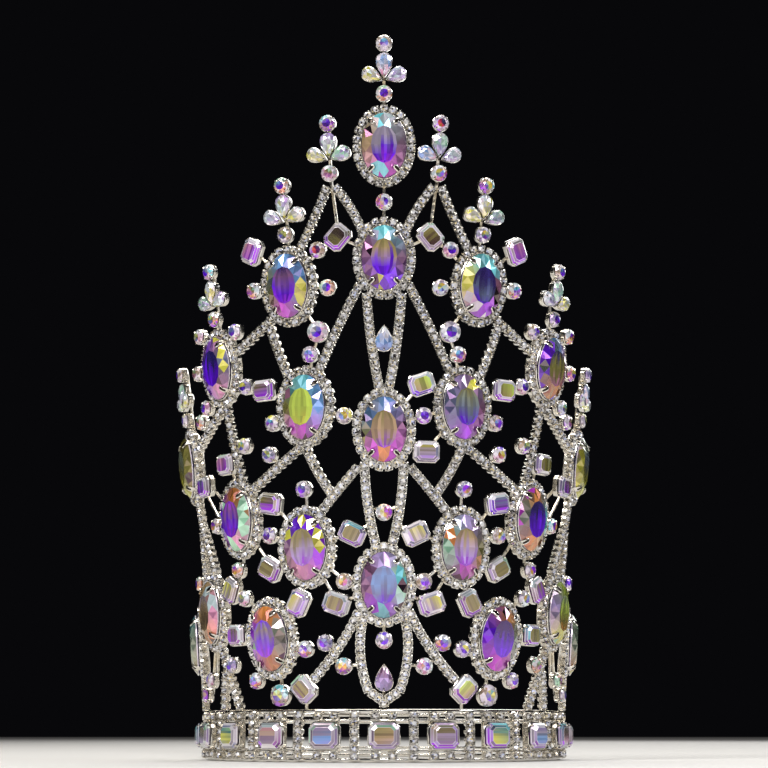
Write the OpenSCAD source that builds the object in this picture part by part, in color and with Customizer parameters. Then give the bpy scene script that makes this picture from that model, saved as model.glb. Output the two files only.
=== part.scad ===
// Tall pageant crown: a band on a closed ring of rails, and a front of soldered cups and stone chain
// that rises in rows of large oval stones. All sizes are millimetres.
// +Z is up, the front faces -Y, and the origin is at the centre of the ring, on the plane it stands on.

/* [Crown] */
// Outer radius of the ring of rails
base_r = 76; // [72:1:80]
// Height of the front, which the rows of stones divide
crown_h = 284; // [276:1:292]
// How far the front leans out by the full height
flare = 38; // [30:1:44]

/* [Band] */
// Height of the band
band_h = 20.6; // [19.8:0.2:21.6]
// Radial width of each rail
rail_w = 1.8; // [1.4:0.1:2.2]
// Height of the rim rails
rim_h = 1.8; // [1.4:0.1:2.2]
// Height of the inner rails
inner_rail_h = 1.2; // [1:0.1:1.6]
// Distance from a rim rail's outer edge to the inner rail's far edge
rail_step = 5; // [4.4:0.1:5.4]
// Width of a band stone
band_stone_w = 12; // [11:0.5:13]
// Height of a band stone
band_stone_h = 10; // [9:0.5:11]
// Angle from one band stone to the next
band_pitch = 17.3; // [17:0.1:18]
// Number of band stones on each side of the middle one
band_side = 5; // [4:1:5]
// Number of plain posts at the back
posts = 9; // [7:1:11]
// Side of the plain posts at the back
post_w = 2; // [1.6:0.1:2.6]

/* [Stones] */
// Width of an oval stone
oval_w = 18; // [17:0.5:18.5]
// Height of an oval stone
oval_h = 26; // [25:0.5:26.5]
// Depth of an oval stone
oval_t = 6; // [5:0.5:7]
// Diameter of a small round stone
round_d = 6; // [5.4:0.1:6.2]
// Diameter of a large round stone
big_round_d = 8; // [7.4:0.1:8.4]
// Depth of a round stone
round_t = 3.6; // [3.2:0.1:4.2]
// Length of an eight-sided stone
oct_l = 10; // [9.4:0.1:10.4]
// Width of an eight-sided stone
oct_w = 8; // [7.4:0.1:8.4]
// Depth of an eight-sided stone
oct_t = 4; // [3.4:0.1:4.4]
// Length of a pear-shaped side stone of a finial
side_pear_l = 8; // [7.4:0.1:8.4]
// Width of a pear-shaped side stone of a finial
side_pear_w = 5.4; // [5:0.1:5.8]
// Length of the upright stone of a finial
top_pear_l = 9.4; // [9:0.1:9.8]
// Width of the upright stone of a finial
top_pear_w = 6; // [5.6:0.1:6.4]
// Length of a drop stone on the centre line
drop_l = 10; // [9.4:0.1:10.6]
// Width of a drop stone on the centre line
drop_w = 6.6; // [6:0.1:7]

/* [Metal] */
// Width of the stone chain, one cup wide
chain_w = 3.6; // [3.2:0.1:3.8]
// Height of the stone chain above the wall's surface
chain_t = 1.5; // [1.2:0.1:1.8]
// Wall of the cups
cup_wall = 0.6; // [0.4:0.05:0.8]
// Height of a cup's wall above its floor
cup_h = 1.8; // [1.6:0.1:2.2]
// Thickness of the floors of the cups
floor_t = 0.8; // [0.6:0.1:1.2]
// Diameter of the support wires behind the cups
wire_w = 1.6; // [1.2:0.1:2]
// Thickness of the support wires
wire_t = 0.8; // [0.6:0.1:1]
// Side of a prong
prong_w = 1.1; // [0.8:0.1:1.4]
// Radius of the hub from which a finial's cups spread
hub_r = 0.9; // [0.8:0.1:1.2]
// Clearance between a stone and its cup
gap = 0.2; // [0.15:0.05:0.25]
// Gap between the band and the front that stands on it
joint_gap = 0.15; // [0.1:0.05:0.2]

/* [Hidden] */

LEFT = -1;
RIGHT = 1;
// Sides of the outlines of the oval cups, twice those of the stones in them
cup_sides = 24;
// Depth by which a joined piece is let into the other, and the step between faces that would coincide
sink = 0.5;
step = 0.1;
// Room between a stone and the outer edge of its cup, along a side and at the tips of a pear
cup_room = gap + cup_wall;
tip_room = 1.5 * cup_room;
// Stones as rings, each a share of the outline at a share of the depth: a small flat base, a pavilion,
// the girdle and a crown of facets up to the flat table
OVAL_RINGS = [[0.34, 0], [1, 0.5], [1, 0.58], [0.84, 0.84], [0.58, 1]];
SMALL_RINGS = [[0.3, 0], [1, 0.55], [1, 0.64], [0.6, 1]];
// Cut of the corners of the eight-sided stones, as a share of their width
corner = 0.2;
// Clock angles of an oval's prongs
PRONG_CLOCKS = [40, 140, 220, 320];
// Half sizes of an oval's border of chain, edge to edge
halo_a = oval_w / 2 + gap + chain_w;
halo_b = oval_h / 2 + gap + chain_w;

// Oval stones of the right half: azimuth in degrees, height as a share of crown_h, turn in degrees
O1 = 0; O2C = 1; O2R = 2; O3C = 3; O3R = 4; O3O = 5; O4C = 6;
O4R = 7; O4M = 8; O4O = 9; O5R = 10; O5M = 11; O5O = 12;
OVALS = [
    [0, 0.852, 0],
    [0, 0.696, 0],
    [23.6, 0.664, 0],
    [0, 0.457, 0],
    [20.8, 0.492, 4],
    [48, 0.564, 0],
    [0, 0.242, 0],
    [21.9, 0.296, 0],
    [45, 0.343, 0],
    [72, 0.436, 0],
    [34.6, 0.171, -8],
    [62, 0.214, 0],
    [84, 0.172, 0]
];

// A place is [oval, clock angle] on an oval's border, [oval] for the point of it that lies nearest,
// [ON_WALL, azimuth, share of crown_h], [ON_BAND, azimuth] or [ON_CHAIN, row of CHAINS, share of its run]
ON_WALL = -1;
ON_BAND = -2;
ON_CHAIN = -3;
// Rows of CHAINS that other pieces meet, each named for the oval below
TO_O3C = 3; TO_O4M_INNER = 7; TO_O4R = 8; TO_O4C = 9; TO_O4M = 10; TO_O4O = 11; DIAGONAL = 12; TO_CHEVRON = 13;
FINIAL_2_FOOT = [ON_WALL, 12, 0.797];
INNER_FOOT = [ON_WALL, 11, 0.797];
OUTER_FOOT = [ON_WALL, 13, 0.797];
OVAL_2_APEX = [ON_WALL, 30, 0.616];
OVAL_3_SIDE = [ON_WALL, 7.1, 0.4045];
DIAGONAL_END = [ON_WALL, 20, 0.121];
CHEVRON_END = [ON_WALL, 4.5, 0.097];
CHEVRON_TIP = [ON_WALL, 0, 0.0825];
MEETING = [ON_CHAIN, TO_O4R, 0.62];
SIDE_APEX = [ON_WALL, 67.3, 0.345];
LOW_APEX = [ON_WALL, 55.8, 0.136];

// Chains of the right half: place it starts at, place it ends at, sideways bow in degrees of azimuth
CHAINS = [
    [INNER_FOOT, [O2C, 49], -0.6],
    [OUTER_FOOT, [O2R, -28], -0.4],
    [[O2C, 127], [O3R, -27], 0.2],
    [[O2C, 140], [O3C, 8], 0.6],
    [OVAL_2_APEX, [O3R, 41], 0.4],
    [OVAL_2_APEX, [O3O, -73], -0.2],
    [[O3R, 180], MEETING, 0.6],
    [[O3R, 180], [O4M, -46], -0.4],
    [OVAL_3_SIDE, [O4R, -31], 0],
    [[O3C, 136], [O4C, 15], 0.9],
    [[O3O, 188], [O4M, -20], 0.6],
    [[O3O, 188], [O4O, -72], -0.8],
    [[O4C, 125], DIAGONAL_END, -1.5],
    [[O4C, 137], CHEVRON_END, 1.85],
    [CHEVRON_END, CHEVRON_TIP, 0],
    [[O4O, 200], SIDE_APEX, 0],
    [SIDE_APEX, [O5M, -28], -0.5],
    [SIDE_APEX, [O5M, 34], 0.8],
    [[O5M, 205], LOW_APEX, 0],
    [[O2R, 137], OVAL_2_APEX, 0]
];
// Chains that end on the band, at this azimuth: place it starts at, azimuth, bow
FEET = [
    [LOW_APEX, 49, -0.3],
    [LOW_APEX, 58, 0.3],
    [[O5O, 176], 83, 0]
];

// Round stones of the right half: azimuth, share of crown_h, diameter, places its wires run to
UPPER_ROUNDS = [
    [15.7, 0.7105, round_d, [O2R], [ON_WALL, 10.8, 0.727]],
    [13.6, 0.657, round_d, [O2R], [O2R]],
    [33.4, 0.664, round_d, [O2R], [O2R]],
    [16.5, 0.596, big_round_d, [O2R], [ON_WALL, 18.8, 0.565]]
];
MIDDLE_ROUNDS = [
    [18.8, 0.565, round_d, [O3R], [O3R]],
    [40.7, 0.611, round_d, [O3O], [O3O]],
    [55.3, 0.618, round_d, [O3O], [O3O]],
    [58.5, 0.566, round_d, [O3O], [O3O]],
    [38.6, 0.53, round_d, [O3O], [ON_WALL, 32.6, 0.521]],
    [30.6, 0.473, round_d, [O3R], [O3R]],
    [10.3, 0.477, round_d, [O3R], [O3C]],
    [55.6, 0.512, round_d, [O3O], [O3O]],
    [59.6, 0.494, round_d, [ON_CHAIN, TO_O4O, 0.62], [ON_CHAIN, TO_O4O, 0.62]],
    [40.7, 0.446, round_d, [ON_CHAIN, TO_O4M, 0.58], [ON_CHAIN, TO_O4M, 0.58]],
    [32.2, 0.429, round_d, [ON_CHAIN, TO_O4M_INNER, 0.48], [ON_CHAIN, TO_O4M_INNER, 0.48]]
];
LOWER_ROUNDS = [
    [22.1, 0.377, round_d, [O4R], [O4R]],
    [33.6, 0.315, round_d, [O4R], [O4M]],
    [11.1, 0.247, round_d, [O4C], [O4R]],
    [55.7, 0.338, round_d, [O4M], [O4O]],
    [46.3, 0.27, round_d, [O4M], [ON_WALL, 50.2, 0.245]],
    [44.2, 0.229, round_d, [O5R], [ON_WALL, 50.2, 0.245]],
    [72.5, 0.26, round_d, [O5M], [O5M]],
    [23.1, 0.155, round_d, [O5R], [O5R]],
    [16.9, 0.163, round_d, [ON_CHAIN, DIAGONAL, 0.64], [ON_CHAIN, DIAGONAL, 0.64]],
    [11.6, 0.131, round_d, [ON_CHAIN, DIAGONAL, 0.72], [ON_CHAIN, TO_CHEVRON, 0.67]],
    [40.7, 0.113, round_d, [O5R], [O5R]],
    [51.4, 0.136, round_d, [ON_WALL, 55.8, 0.136], [ON_WALL, 55.8, 0.136]],
    [31.8, 0.092, big_round_d, [O5R], [O5R]],
    [66, 0.116, round_d, [O5M], [O5M]],
    [72.4, 0.096, round_d, [O5M], [O5O]]
];
// Round stones on the centre line: share of crown_h, diameter
CENTRE_ROUNDS = [
    [0.774, round_d],
    [0.342, round_d],
    [0.166, round_d]
];

// Eight-sided stones of the right half: azimuth, share of crown_h, turn, places its wires run to
UPPER_OCTAGONS = [
    [10.8, 0.727, -48, [O2C], FINIAL_2_FOOT],
    [33, 0.72, -62, [O2R], [O2R]]
];
MIDDLE_OCTAGONS = [
    [32.6, 0.521, 0, [O3R], [O3R]]
];
LOWER_OCTAGONS = [
    [48.7, 0.424, 0, [O4M], [ON_CHAIN, TO_O4M, 0.66]],
    [32.8, 0.36, 10, [O4R], [O4M]],
    [8.7, 0.313, 26, [ON_CHAIN, TO_O4C, 0.73], [O4R]],
    [34, 0.268, 30, [O4R], [O4M]],
    [13.5, 0.217, 20, [O4C], [O4R]],
    [25, 0.219, -62, [O4R], [O5R]],
    [61, 0.399, 0, [O4M], [O4O]],
    [50.1, 0.243, -60, [O5M], [O5M]],
    [48.5, 0.178, 0, [O5R], [O5M]],
    [23.9, 0.1, 48, [ON_BAND, 23.9], DIAGONAL_END]
];
// Two more on the right side only: azimuth, share of crown_h, turn, places its wires run to
RIGHT_OCTAGONS = [
    [9.6, 0.521, 20, [O3C], [O3R]],
    [11.2, 0.427, 0, [O3C], [O3R]]
];
// Drop stones on the centre line: share of crown_h
DROP_UPPER = 0.584;
DROP_LOWER = 0.115;

// Distances from a finial's centre along its axis: down to the centre of the low round, up to the middle
// of the upright stone, up to the centre of the crest round, and down to the oval it stands on
low_reach = round_d / 2 + cup_room + tip_room + 2 * step;
top_reach = top_pear_l / 2 + tip_room + 2 * step;
crest_reach = top_reach + top_pear_l / 2 + tip_room - step + round_d / 2;
finial_rise = low_reach + round_d / 2 + cup_room - 2 * step;
// Angle from a finial's upright stone to its side stones
side_turn = 66;
// Finials of the right half: azimuth, height of the centre
FINIALS = [
    [12.2, FINIAL_2_FOOT[2] * crown_h + finial_rise + chain_w / 2],
    [OVALS[O2R][0], OVALS[O2R][1] * crown_h + halo_b + finial_rise],
    [OVALS[O3O][0], OVALS[O3O][1] * crown_h + halo_b + finial_rise],
    [OVALS[O4O][0], OVALS[O4O][1] * crown_h + halo_b + finial_rise]
];
CENTRE_FINIAL = OVALS[O1][1] * crown_h + halo_b + finial_rise;

// Radius of the wall's surface at height z, where the floors of the cups lie
function wall_r(z) = base_r - rail_w / 2 + flare * (0.35 * z / crown_h + 0.65 * pow(z / crown_h, 2));
// Angle by which the wall leans out at height z
function lean(z) = atan(flare * (0.35 / crown_h + 1.3 * z / pow(crown_h, 2)));
function across(az) = [cos(az), sin(az), 0];
function upward(az, z) = [sin(az) * sin(lean(z)), -cos(az) * sin(lean(z)), cos(lean(z))];
function outward(az, z) = [sin(az) * cos(lean(z)), -cos(az) * cos(lean(z)), -sin(lean(z))];
function wall_point(az, z) = [wall_r(z) * sin(az), -wall_r(z) * cos(az), z];
function azimuth_of(p) = atan2(p[0], -p[1]);
function height_of(i) = OVALS[i][1] * crown_h;

// Point on an oval's border at a clock angle from its top, drawn in by a share of the chain's width
function rim(i, clock, inset = 0.5) = let(
    az = OVALS[i][0], z = height_of(i), turn = OVALS[i][2],
    x = (halo_a - inset * chain_w) * sin(clock), y = (halo_b - inset * chain_w) * cos(clock)
) wall_point(az, z) + (x * cos(turn) - y * sin(turn)) * across(az)
    + (x * sin(turn) + y * cos(turn)) * upward(az, z);

// Clock angle at which an oval's border comes closest to a point of the wall
function clock_to(i, az, z) = let(
    c = wall_point(OVALS[i][0], height_of(i)), d = wall_point(az, z) - c
) atan2((d * across(OVALS[i][0])) / halo_a, (d * upward(OVALS[i][0], height_of(i))) / halo_b)
    + OVALS[i][2];

// A place as a point; az and z are where the piece that it carries lies
function place(p, az = 0, z = 0) =
    p[0] == ON_WALL ? wall_point(p[1], p[2] * crown_h)
    : p[0] == ON_BAND ? wall_point(p[1], band_h + joint_gap)
    : p[0] == ON_CHAIN ? chain_point(place(CHAINS[p[1]][0]), place(CHAINS[p[1]][1]), CHAINS[p[1]][2], p[2])
    : rim(p[0], len(p) == 2 ? p[1] : clock_to(p[0], az, z));

// Where the two bars of a chain from p to q meet, and the point at a share of its run
function chain_middle(p, q, bow) =
    wall_point((azimuth_of(p) + azimuth_of(q)) / 2 + bow, (p[2] + q[2]) / 2);
function chain_point(p, q, bow, share) = let(m = chain_middle(p, q, bow))
    share < 0.5 ? p + 2 * share * (m - p) : m + (2 * share - 1) * (q - m);

function ellipse(w, h, n) = [for (i = [0:n - 1]) [w / 2 * cos(360 * i / n), h / 2 * sin(360 * i / n)]];
// Rectangle with its corners cut
function octagon(l, w) = let(a = l / 2, b = w / 2, c = corner * w) [
    [a, -b + c], [a, b - c], [a - c, b], [-a + c, b], [-a, b - c], [-a, -b + c], [-a + c, -b], [a - c, -b]
];
// Drop with its point up, where 0.77 is the largest value of sin(t) * sin(t / 2)
function pear(w, l, n) = [for (i = [0:n - 1]) let(t = -360 * i / n)
    [w / 2 / 0.77 * sin(t) * sin(t / 2) * sign(sin(t / 2)), l / 2 * cos(t)]];

// Puts a piece that is drawn flat, x to the right and y up, on the wall
module on_wall(az, z, turn = 0) {
    rotate([0, 0, az]) translate([0, -wall_r(z), z]) rotate([90 + lean(z), 0, 0])
        rotate([0, 0, turn]) children();
}

// Draws the right half's piece for one side
module on_side(side) {
    if (side == LEFT) mirror([1, 0, 0]) children();
    else children();
}

module both_sides() {
    children();
    mirror([1, 0, 0]) children();
}

// Straight bar between two points of the wall, from height lo to height hi above its surface
module bar(p, q, w, lo, hi) {
    d = q - p;
    l = norm(d);
    m = (p + q) / 2;
    side = cross(outward(azimuth_of(m), m[2]), d) / norm(cross(outward(azimuth_of(m), m[2]), d));
    n = cross(d / l, side);
    multmatrix([
        [d[0] / l, side[0], n[0], p[0]],
        [d[1] / l, side[1], n[1], p[1]],
        [d[2] / l, side[2], n[2], p[2]]
    ]) translate([0, -w / 2, lo]) cube([l, w, hi - lo]);
}

// Chain of two bars between two points, bowed sideways along the wall
module chain(p, q, bow) {
    m = chain_middle(p, q, bow);
    bar(p, m, chain_w, -sink - step, chain_t);
    bar(m, q, chain_w, -sink, chain_t - step);
}

// Chain that stands on the band's upper rail, cut flat there
module foot(p, az, bow) {
    difference() {
        chain(p, wall_point(az, band_h - 1), bow);
        rotate([0, 0, az]) translate([-2 * chain_w, -base_r - chain_w, joint_gap])
            cube([4 * chain_w, 2 * chain_w, band_h]);
    }
}

// Support wire behind the cups
module wire(p, q) {
    bar(p, q, wire_w, -floor_t / 2 - wire_t, -floor_t / 2);
}

// Cup with a floor and a pocket, from two outlines
module cup(outer, pocket, h) {
    difference() {
        translate([0, 0, -floor_t]) linear_extrude(floor_t + h) polygon(outer);
        linear_extrude(h + 1) polygon(pocket);
    }
}

module round_cup(d) {
    difference() {
        translate([0, 0, -floor_t]) cylinder(d = d + 2 * cup_room, h = floor_t + cup_h, $fn = 32);
        cylinder(d = d + 2 * gap, h = cup_h + 1, $fn = 32);
    }
}

module octagon_cup(l, w) {
    cup(octagon(l + 2 * cup_room, w + 2 * cup_room), octagon(l + 2 * gap, w + 2 * gap), cup_h);
}

module pear_cup(w, l, h) {
    cup(
        pear(w + gap + 2 * cup_room, l + 2 * tip_room, cup_sides),
        pear(w + 3 * gap, l + 4 * gap, cup_sides), h
    );
}

// Border of chain round an oval stone, with the stone's cup and four prongs
module oval_cup() {
    prong_top = gap + 0.65 * oval_t;
    border = ellipse(2 * halo_a, 2 * halo_b, cup_sides);
    cup(border, ellipse(oval_w + 2 * gap, oval_h + 2 * gap, cup_sides), cup_h);
    for (clock = PRONG_CLOCKS)
        translate([(oval_w / 2 + gap) * sin(clock), (oval_h / 2 + gap) * cos(clock), 0])
            rotate([0, 0, -clock]) translate([-prong_w / 2, 1.5 * step, cup_h - sink])
                cube([prong_w, prong_w, prong_top - cup_h + sink]);
}

// Cut stone on its outline at the girdle, as rings from its base to its table
module cut_stone(outline, depth, rings) {
    n = len(outline);
    m = len(rings);
    points = [for (r = rings) for (p = outline) [p[0] * r[0], p[1] * r[0], r[1] * depth]];
    sides = [for (k = [0:m - 2]) for (i = [0:n - 1]) let(j = (i + 1) % n)
        [k * n + i, (k + 1) * n + i, (k + 1) * n + j, k * n + j]];
    base = [for (i = [0:n - 1]) i];
    table = [for (i = [0:n - 1]) m * n - 1 - i];
    translate([0, 0, gap]) polyhedron(points, concat(sides, [base, table]));
}

module round_stone(d) {
    cut_stone(ellipse(d, d, 8), round_t, SMALL_RINGS);
}

module pear_stone(w, l) {
    cut_stone(pear(w, l, cup_sides / 2), round_t, SMALL_RINGS);
}

// Puts a finial's pieces in their places: 0 and 1 are the rounds, 2 the upright stone, 3 and 4 the sides
module at_finial(az, z, piece) {
    on_wall(az, z) {
        if (piece == 0) translate([0, -low_reach, 0]) children();
        if (piece == 1) translate([0, crest_reach, 0]) children();
        if (piece == 2) translate([0, top_reach, 0]) rotate([0, 0, 180]) children();
        if (piece > 2) rotate([0, 0, piece == 3 ? -side_turn : side_turn])
            translate([0, tip_room + side_pear_l / 2, 0]) rotate([0, 0, 180]) children();
    }
}

// The cups of the pears differ a little in height, so that their tips don't share a face
module finial_metal(az, z) {
    for (piece = [0, 1]) at_finial(az, z, piece) round_cup(round_d);
    at_finial(az, z, 2) pear_cup(top_pear_w, top_pear_l, cup_h + step);
    at_finial(az, z, 3) pear_cup(side_pear_w, side_pear_l, cup_h - step);
    at_finial(az, z, 4) pear_cup(side_pear_w, side_pear_l, cup_h - 2 * step);
    on_wall(az, z) {
        translate([0, 0, -floor_t - step]) cylinder(r = hub_r, h = floor_t + cup_h, $fn = 16);
        translate([-wire_w / 2, -finial_rise - 2 * sink, -floor_t / 2 - wire_t])
            cube([wire_w, finial_rise + 2 * sink + crest_reach, wire_t]);
    }
}

// Bar of the band that carries stone chain
module band_bar(x) {
    translate([x - chain_w / 2, -base_r - chain_t + sink - step, rim_h / 2])
        cube([chain_w, rail_w, band_h - rim_h]);
}

// Puts a piece that is drawn flat in the middle of the band's front, k stones from the middle one
module on_band(k) {
    rotate([0, 0, k * band_pitch]) translate([0, -base_r - chain_t + 2 * step, band_h / 2])
        rotate([90, 0, 0]) children();
}

module base_band() color("gainsboro") {
    for (rail = [
        [0, rim_h], [rail_step - inner_rail_h, inner_rail_h],
        [band_h - rail_step, inner_rail_h], [band_h - rim_h, rim_h]
    ]) translate([0, 0, rail[0]]) rotate_extrude($fn = 180)
        translate([base_r - rail_w, 0]) square([rail_w, rail[1]]);
    for (k = [-band_side:band_side]) {
        rotate([0, 0, k * band_pitch]) for (x = [-1, 1]) band_bar(x * band_stone_w / 3);
        on_band(k) octagon_cup(band_stone_w, band_stone_h);
    }
    for (k = [-band_side - 1:band_side]) rotate([0, 0, (k + 0.5) * band_pitch]) band_bar(0);
    last_bar = (band_side + 0.5) * band_pitch;
    for (k = [1:posts]) rotate([0, 0, last_bar + k * (360 - 2 * last_bar) / (posts + 1)])
        translate([-post_w / 2, -base_r + rail_w / 6, rim_h / 2])
            cube([post_w, rail_w * 2 / 3, band_h - rim_h]);
}

module band_octagons() color("thistle") {
    for (k = [-band_side:band_side])
        on_band(k) cut_stone(octagon(band_stone_w, band_stone_h), oct_t, SMALL_RINGS);
}

module front_lattice() color("silver") {
    centre_lattice();
    both_sides() side_lattice();
    right_lattice();
}

// Cups, finial and wires on the centre line
module centre_lattice() {
    for (i = [O1, O2C, O3C, O4C]) on_wall(0, height_of(i)) oval_cup();
    for (row = CENTRE_ROUNDS) on_wall(0, row[0] * crown_h) round_cup(row[1]);
    finial_metal(0, CENTRE_FINIAL);
    on_wall(0, DROP_UPPER * crown_h) pear_cup(drop_w, drop_l, cup_h);
    on_wall(0, DROP_LOWER * crown_h) pear_cup(drop_w, drop_l, cup_h);
    wire(rim(O1, 180), rim(O2C, 0));
    wire(rim(O4C, 180), wall_point(0, CENTRE_ROUNDS[2][0] * crown_h));
    wire(wall_point(0, DROP_LOWER * crown_h), place(CHEVRON_TIP));
    foot(place(CHEVRON_TIP) + [0, 0, 2 * sink], 0, 0);
}

module side_lattice() {
    for (i = [O2R, O3R, O3O, O4R, O4M, O4O, O5R, O5M, O5O])
        on_wall(OVALS[i][0], height_of(i), OVALS[i][2]) oval_cup();
    for (row = CHAINS) chain(place(row[0]), place(row[1]), row[2]);
    for (row = FEET) foot(place(row[0]), row[1], row[2]);
    for (row = FINIALS) finial_metal(row[0], row[1]);
    wire(place(FINIAL_2_FOOT) - [0, 0, chain_w / 2], wall_point(FINIALS[0][0], FINIALS[0][1]));
    wire(wall_point(0, DROP_UPPER * crown_h), place([ON_CHAIN, TO_O3C, 0.47]));
    wire(wall_point(0, CENTRE_ROUNDS[1][0] * crown_h), place([ON_CHAIN, TO_O4C, 0.53]));
    for (row = concat(UPPER_ROUNDS, MIDDLE_ROUNDS, LOWER_ROUNDS)) {
        on_wall(row[0], row[1] * crown_h) round_cup(row[2]);
        carried(row[0], row[1] * crown_h, row[3], row[4]);
    }
    for (row = concat(UPPER_OCTAGONS, MIDDLE_OCTAGONS, LOWER_OCTAGONS)) {
        on_wall(row[0], row[1] * crown_h, row[2]) octagon_cup(oct_l, oct_w);
        carried(row[0], row[1] * crown_h, row[3], row[4]);
    }
}

module right_lattice() {
    for (row = RIGHT_OCTAGONS) {
        on_wall(row[0], row[1] * crown_h, row[2]) octagon_cup(oct_l, oct_w);
        carried(row[0], row[1] * crown_h, row[3], row[4]);
    }
}

// Wires from a cup to the two places that carry it
module carried(az, z, a, b) {
    p = wall_point(az, z);
    wire(p, place(a, az, z));
    if (b != a) wire(p, place(b, az, z));
}

module oval_stone(i, side, tint) {
    color(tint) on_side(side) on_wall(OVALS[i][0], height_of(i), OVALS[i][2])
        cut_stone(ellipse(oval_w, oval_h, cup_sides / 2), oval_t, OVAL_RINGS);
}

module rounds_of(rows) {
    for (row = rows) on_wall(row[0], row[1] * crown_h) round_stone(row[2]);
}

module octagons_of(rows) {
    for (row = rows) on_wall(row[0], row[1] * crown_h, row[2])
        cut_stone(octagon(oct_l, oct_w), oct_t, SMALL_RINGS);
}

module upper_rounds() color("plum") {
    both_sides() rounds_of(UPPER_ROUNDS);
    on_wall(0, CENTRE_ROUNDS[0][0] * crown_h) round_stone(CENTRE_ROUNDS[0][1]);
}

module middle_rounds() color("plum") both_sides() rounds_of(MIDDLE_ROUNDS);

module lower_rounds() color("plum") {
    both_sides() rounds_of(LOWER_ROUNDS);
    for (k = [1, 2]) on_wall(0, CENTRE_ROUNDS[k][0] * crown_h) round_stone(CENTRE_ROUNDS[k][1]);
}

module upper_octagons() color("thistle") both_sides() octagons_of(UPPER_OCTAGONS);

module middle_octagons() color("thistle") {
    both_sides() octagons_of(MIDDLE_OCTAGONS);
    octagons_of(RIGHT_OCTAGONS);
}

module lower_octagons() color("thistle") both_sides() octagons_of(LOWER_OCTAGONS);

module drop_upper() color("lavender") on_wall(0, DROP_UPPER * crown_h) pear_stone(drop_w, drop_l);

module drop_lower() color("lavender") on_wall(0, DROP_LOWER * crown_h) pear_stone(drop_w, drop_l);

module pears_of(az, z) {
    at_finial(az, z, 2) pear_stone(top_pear_w, top_pear_l);
    for (piece = [3, 4]) at_finial(az, z, piece) pear_stone(side_pear_w, side_pear_l);
}

module finial_pears() color("aliceblue") {
    pears_of(0, CENTRE_FINIAL);
    both_sides() for (row = FINIALS) pears_of(row[0], row[1]);
}

module finial_rounds() color("plum") {
    for (piece = [0, 1]) {
        at_finial(0, CENTRE_FINIAL, piece) round_stone(round_d);
        both_sides() for (row = FINIALS) at_finial(row[0], row[1], piece) round_stone(round_d);
    }
}

base_band();
front_lattice();
band_octagons();
oval_stone(O1, RIGHT, "mediumpurple");  // oval_1_centre
oval_stone(O2C, RIGHT, "mediumpurple");  // oval_2_centre
oval_stone(O2R, LEFT, "slateblue");  // oval_2_left
oval_stone(O2R, RIGHT, "slateblue");  // oval_2_right
oval_stone(O3C, RIGHT, "orchid");  // oval_3_centre
oval_stone(O3R, LEFT, "yellowgreen");  // oval_3_left_inner
oval_stone(O3R, RIGHT, "mediumpurple");  // oval_3_right_inner
oval_stone(O3O, LEFT, "slateblue");  // oval_3_left_outer
oval_stone(O3O, RIGHT, "slateblue");  // oval_3_right_outer
oval_stone(O4C, RIGHT, "steelblue");  // oval_4_centre
oval_stone(O4R, LEFT, "mediumpurple");  // oval_4_left_inner
oval_stone(O4R, RIGHT, "mediumpurple");  // oval_4_right_inner
oval_stone(O4M, LEFT, "slateblue");  // oval_4_left_middle
oval_stone(O4M, RIGHT, "slateblue");  // oval_4_right_middle
oval_stone(O4O, LEFT, "darkkhaki");  // oval_4_left_outer
oval_stone(O4O, RIGHT, "darkkhaki");  // oval_4_right_outer
oval_stone(O5R, LEFT, "darkorchid");  // oval_5_left_inner
oval_stone(O5R, RIGHT, "slateblue");  // oval_5_right_inner
oval_stone(O5M, LEFT, "rosybrown");  // oval_5_left_middle
oval_stone(O5M, RIGHT, "darkkhaki");  // oval_5_right_middle
oval_stone(O5O, LEFT, "rosybrown");  // oval_5_left_outer
oval_stone(O5O, RIGHT, "darkkhaki");  // oval_5_right_outer
drop_upper();
drop_lower();
upper_rounds();
middle_rounds();
lower_rounds();
upper_octagons();
middle_octagons();
lower_octagons();
finial_pears();
finial_rounds();
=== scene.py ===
# %% [markdown]
# # A tall pageant crown of coated crystal and cup chain
# The real crown is soldered by hand: rails are bent to a ring, stones sit in thin metal cups, and chain
# of small stones in linked cups joins them. This lesson builds each of those as a surface worked out with
# numpy. One frame of solids says where every piece belongs, and the new pieces stand for those solids.
# Each could be modelled by hand too, but over a thousand small parts have to be spaced on a curved wall,
# and arrays place them all at once.

# %% Load the frame of solids
import math

import bpy
import numpy as np
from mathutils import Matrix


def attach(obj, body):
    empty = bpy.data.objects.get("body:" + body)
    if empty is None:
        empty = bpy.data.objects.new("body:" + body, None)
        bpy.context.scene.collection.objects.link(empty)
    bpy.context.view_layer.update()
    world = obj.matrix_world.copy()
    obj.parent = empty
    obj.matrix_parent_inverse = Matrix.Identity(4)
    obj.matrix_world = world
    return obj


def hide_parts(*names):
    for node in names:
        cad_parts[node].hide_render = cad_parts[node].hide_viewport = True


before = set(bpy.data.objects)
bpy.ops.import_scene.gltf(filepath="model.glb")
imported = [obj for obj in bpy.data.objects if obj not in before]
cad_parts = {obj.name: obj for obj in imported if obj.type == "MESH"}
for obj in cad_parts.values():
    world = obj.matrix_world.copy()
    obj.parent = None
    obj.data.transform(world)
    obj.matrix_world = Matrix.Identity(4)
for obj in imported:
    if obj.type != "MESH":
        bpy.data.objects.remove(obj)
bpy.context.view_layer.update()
MM = 0.001

# %% [markdown]
# ## The camera and the view
# The photograph looks up at the front from below the band. The crown rests on a floor here, so the camera
# keeps its distance and stands just above the floor. A long lens keeps the ring from bulging.
# The standard view keeps the strong colours of coated crystal, which a filmic view would grey.

# %% Camera at the front, just above the floor
LENS_MM, SENSOR_MM = 79.5, 36
# In metres: how far in front the camera stands, how high, and the height that it looks at
DISTANCE = 0.752
EYE_HEIGHT = 0.012
AIM_HEIGHT = 0.166

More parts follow.
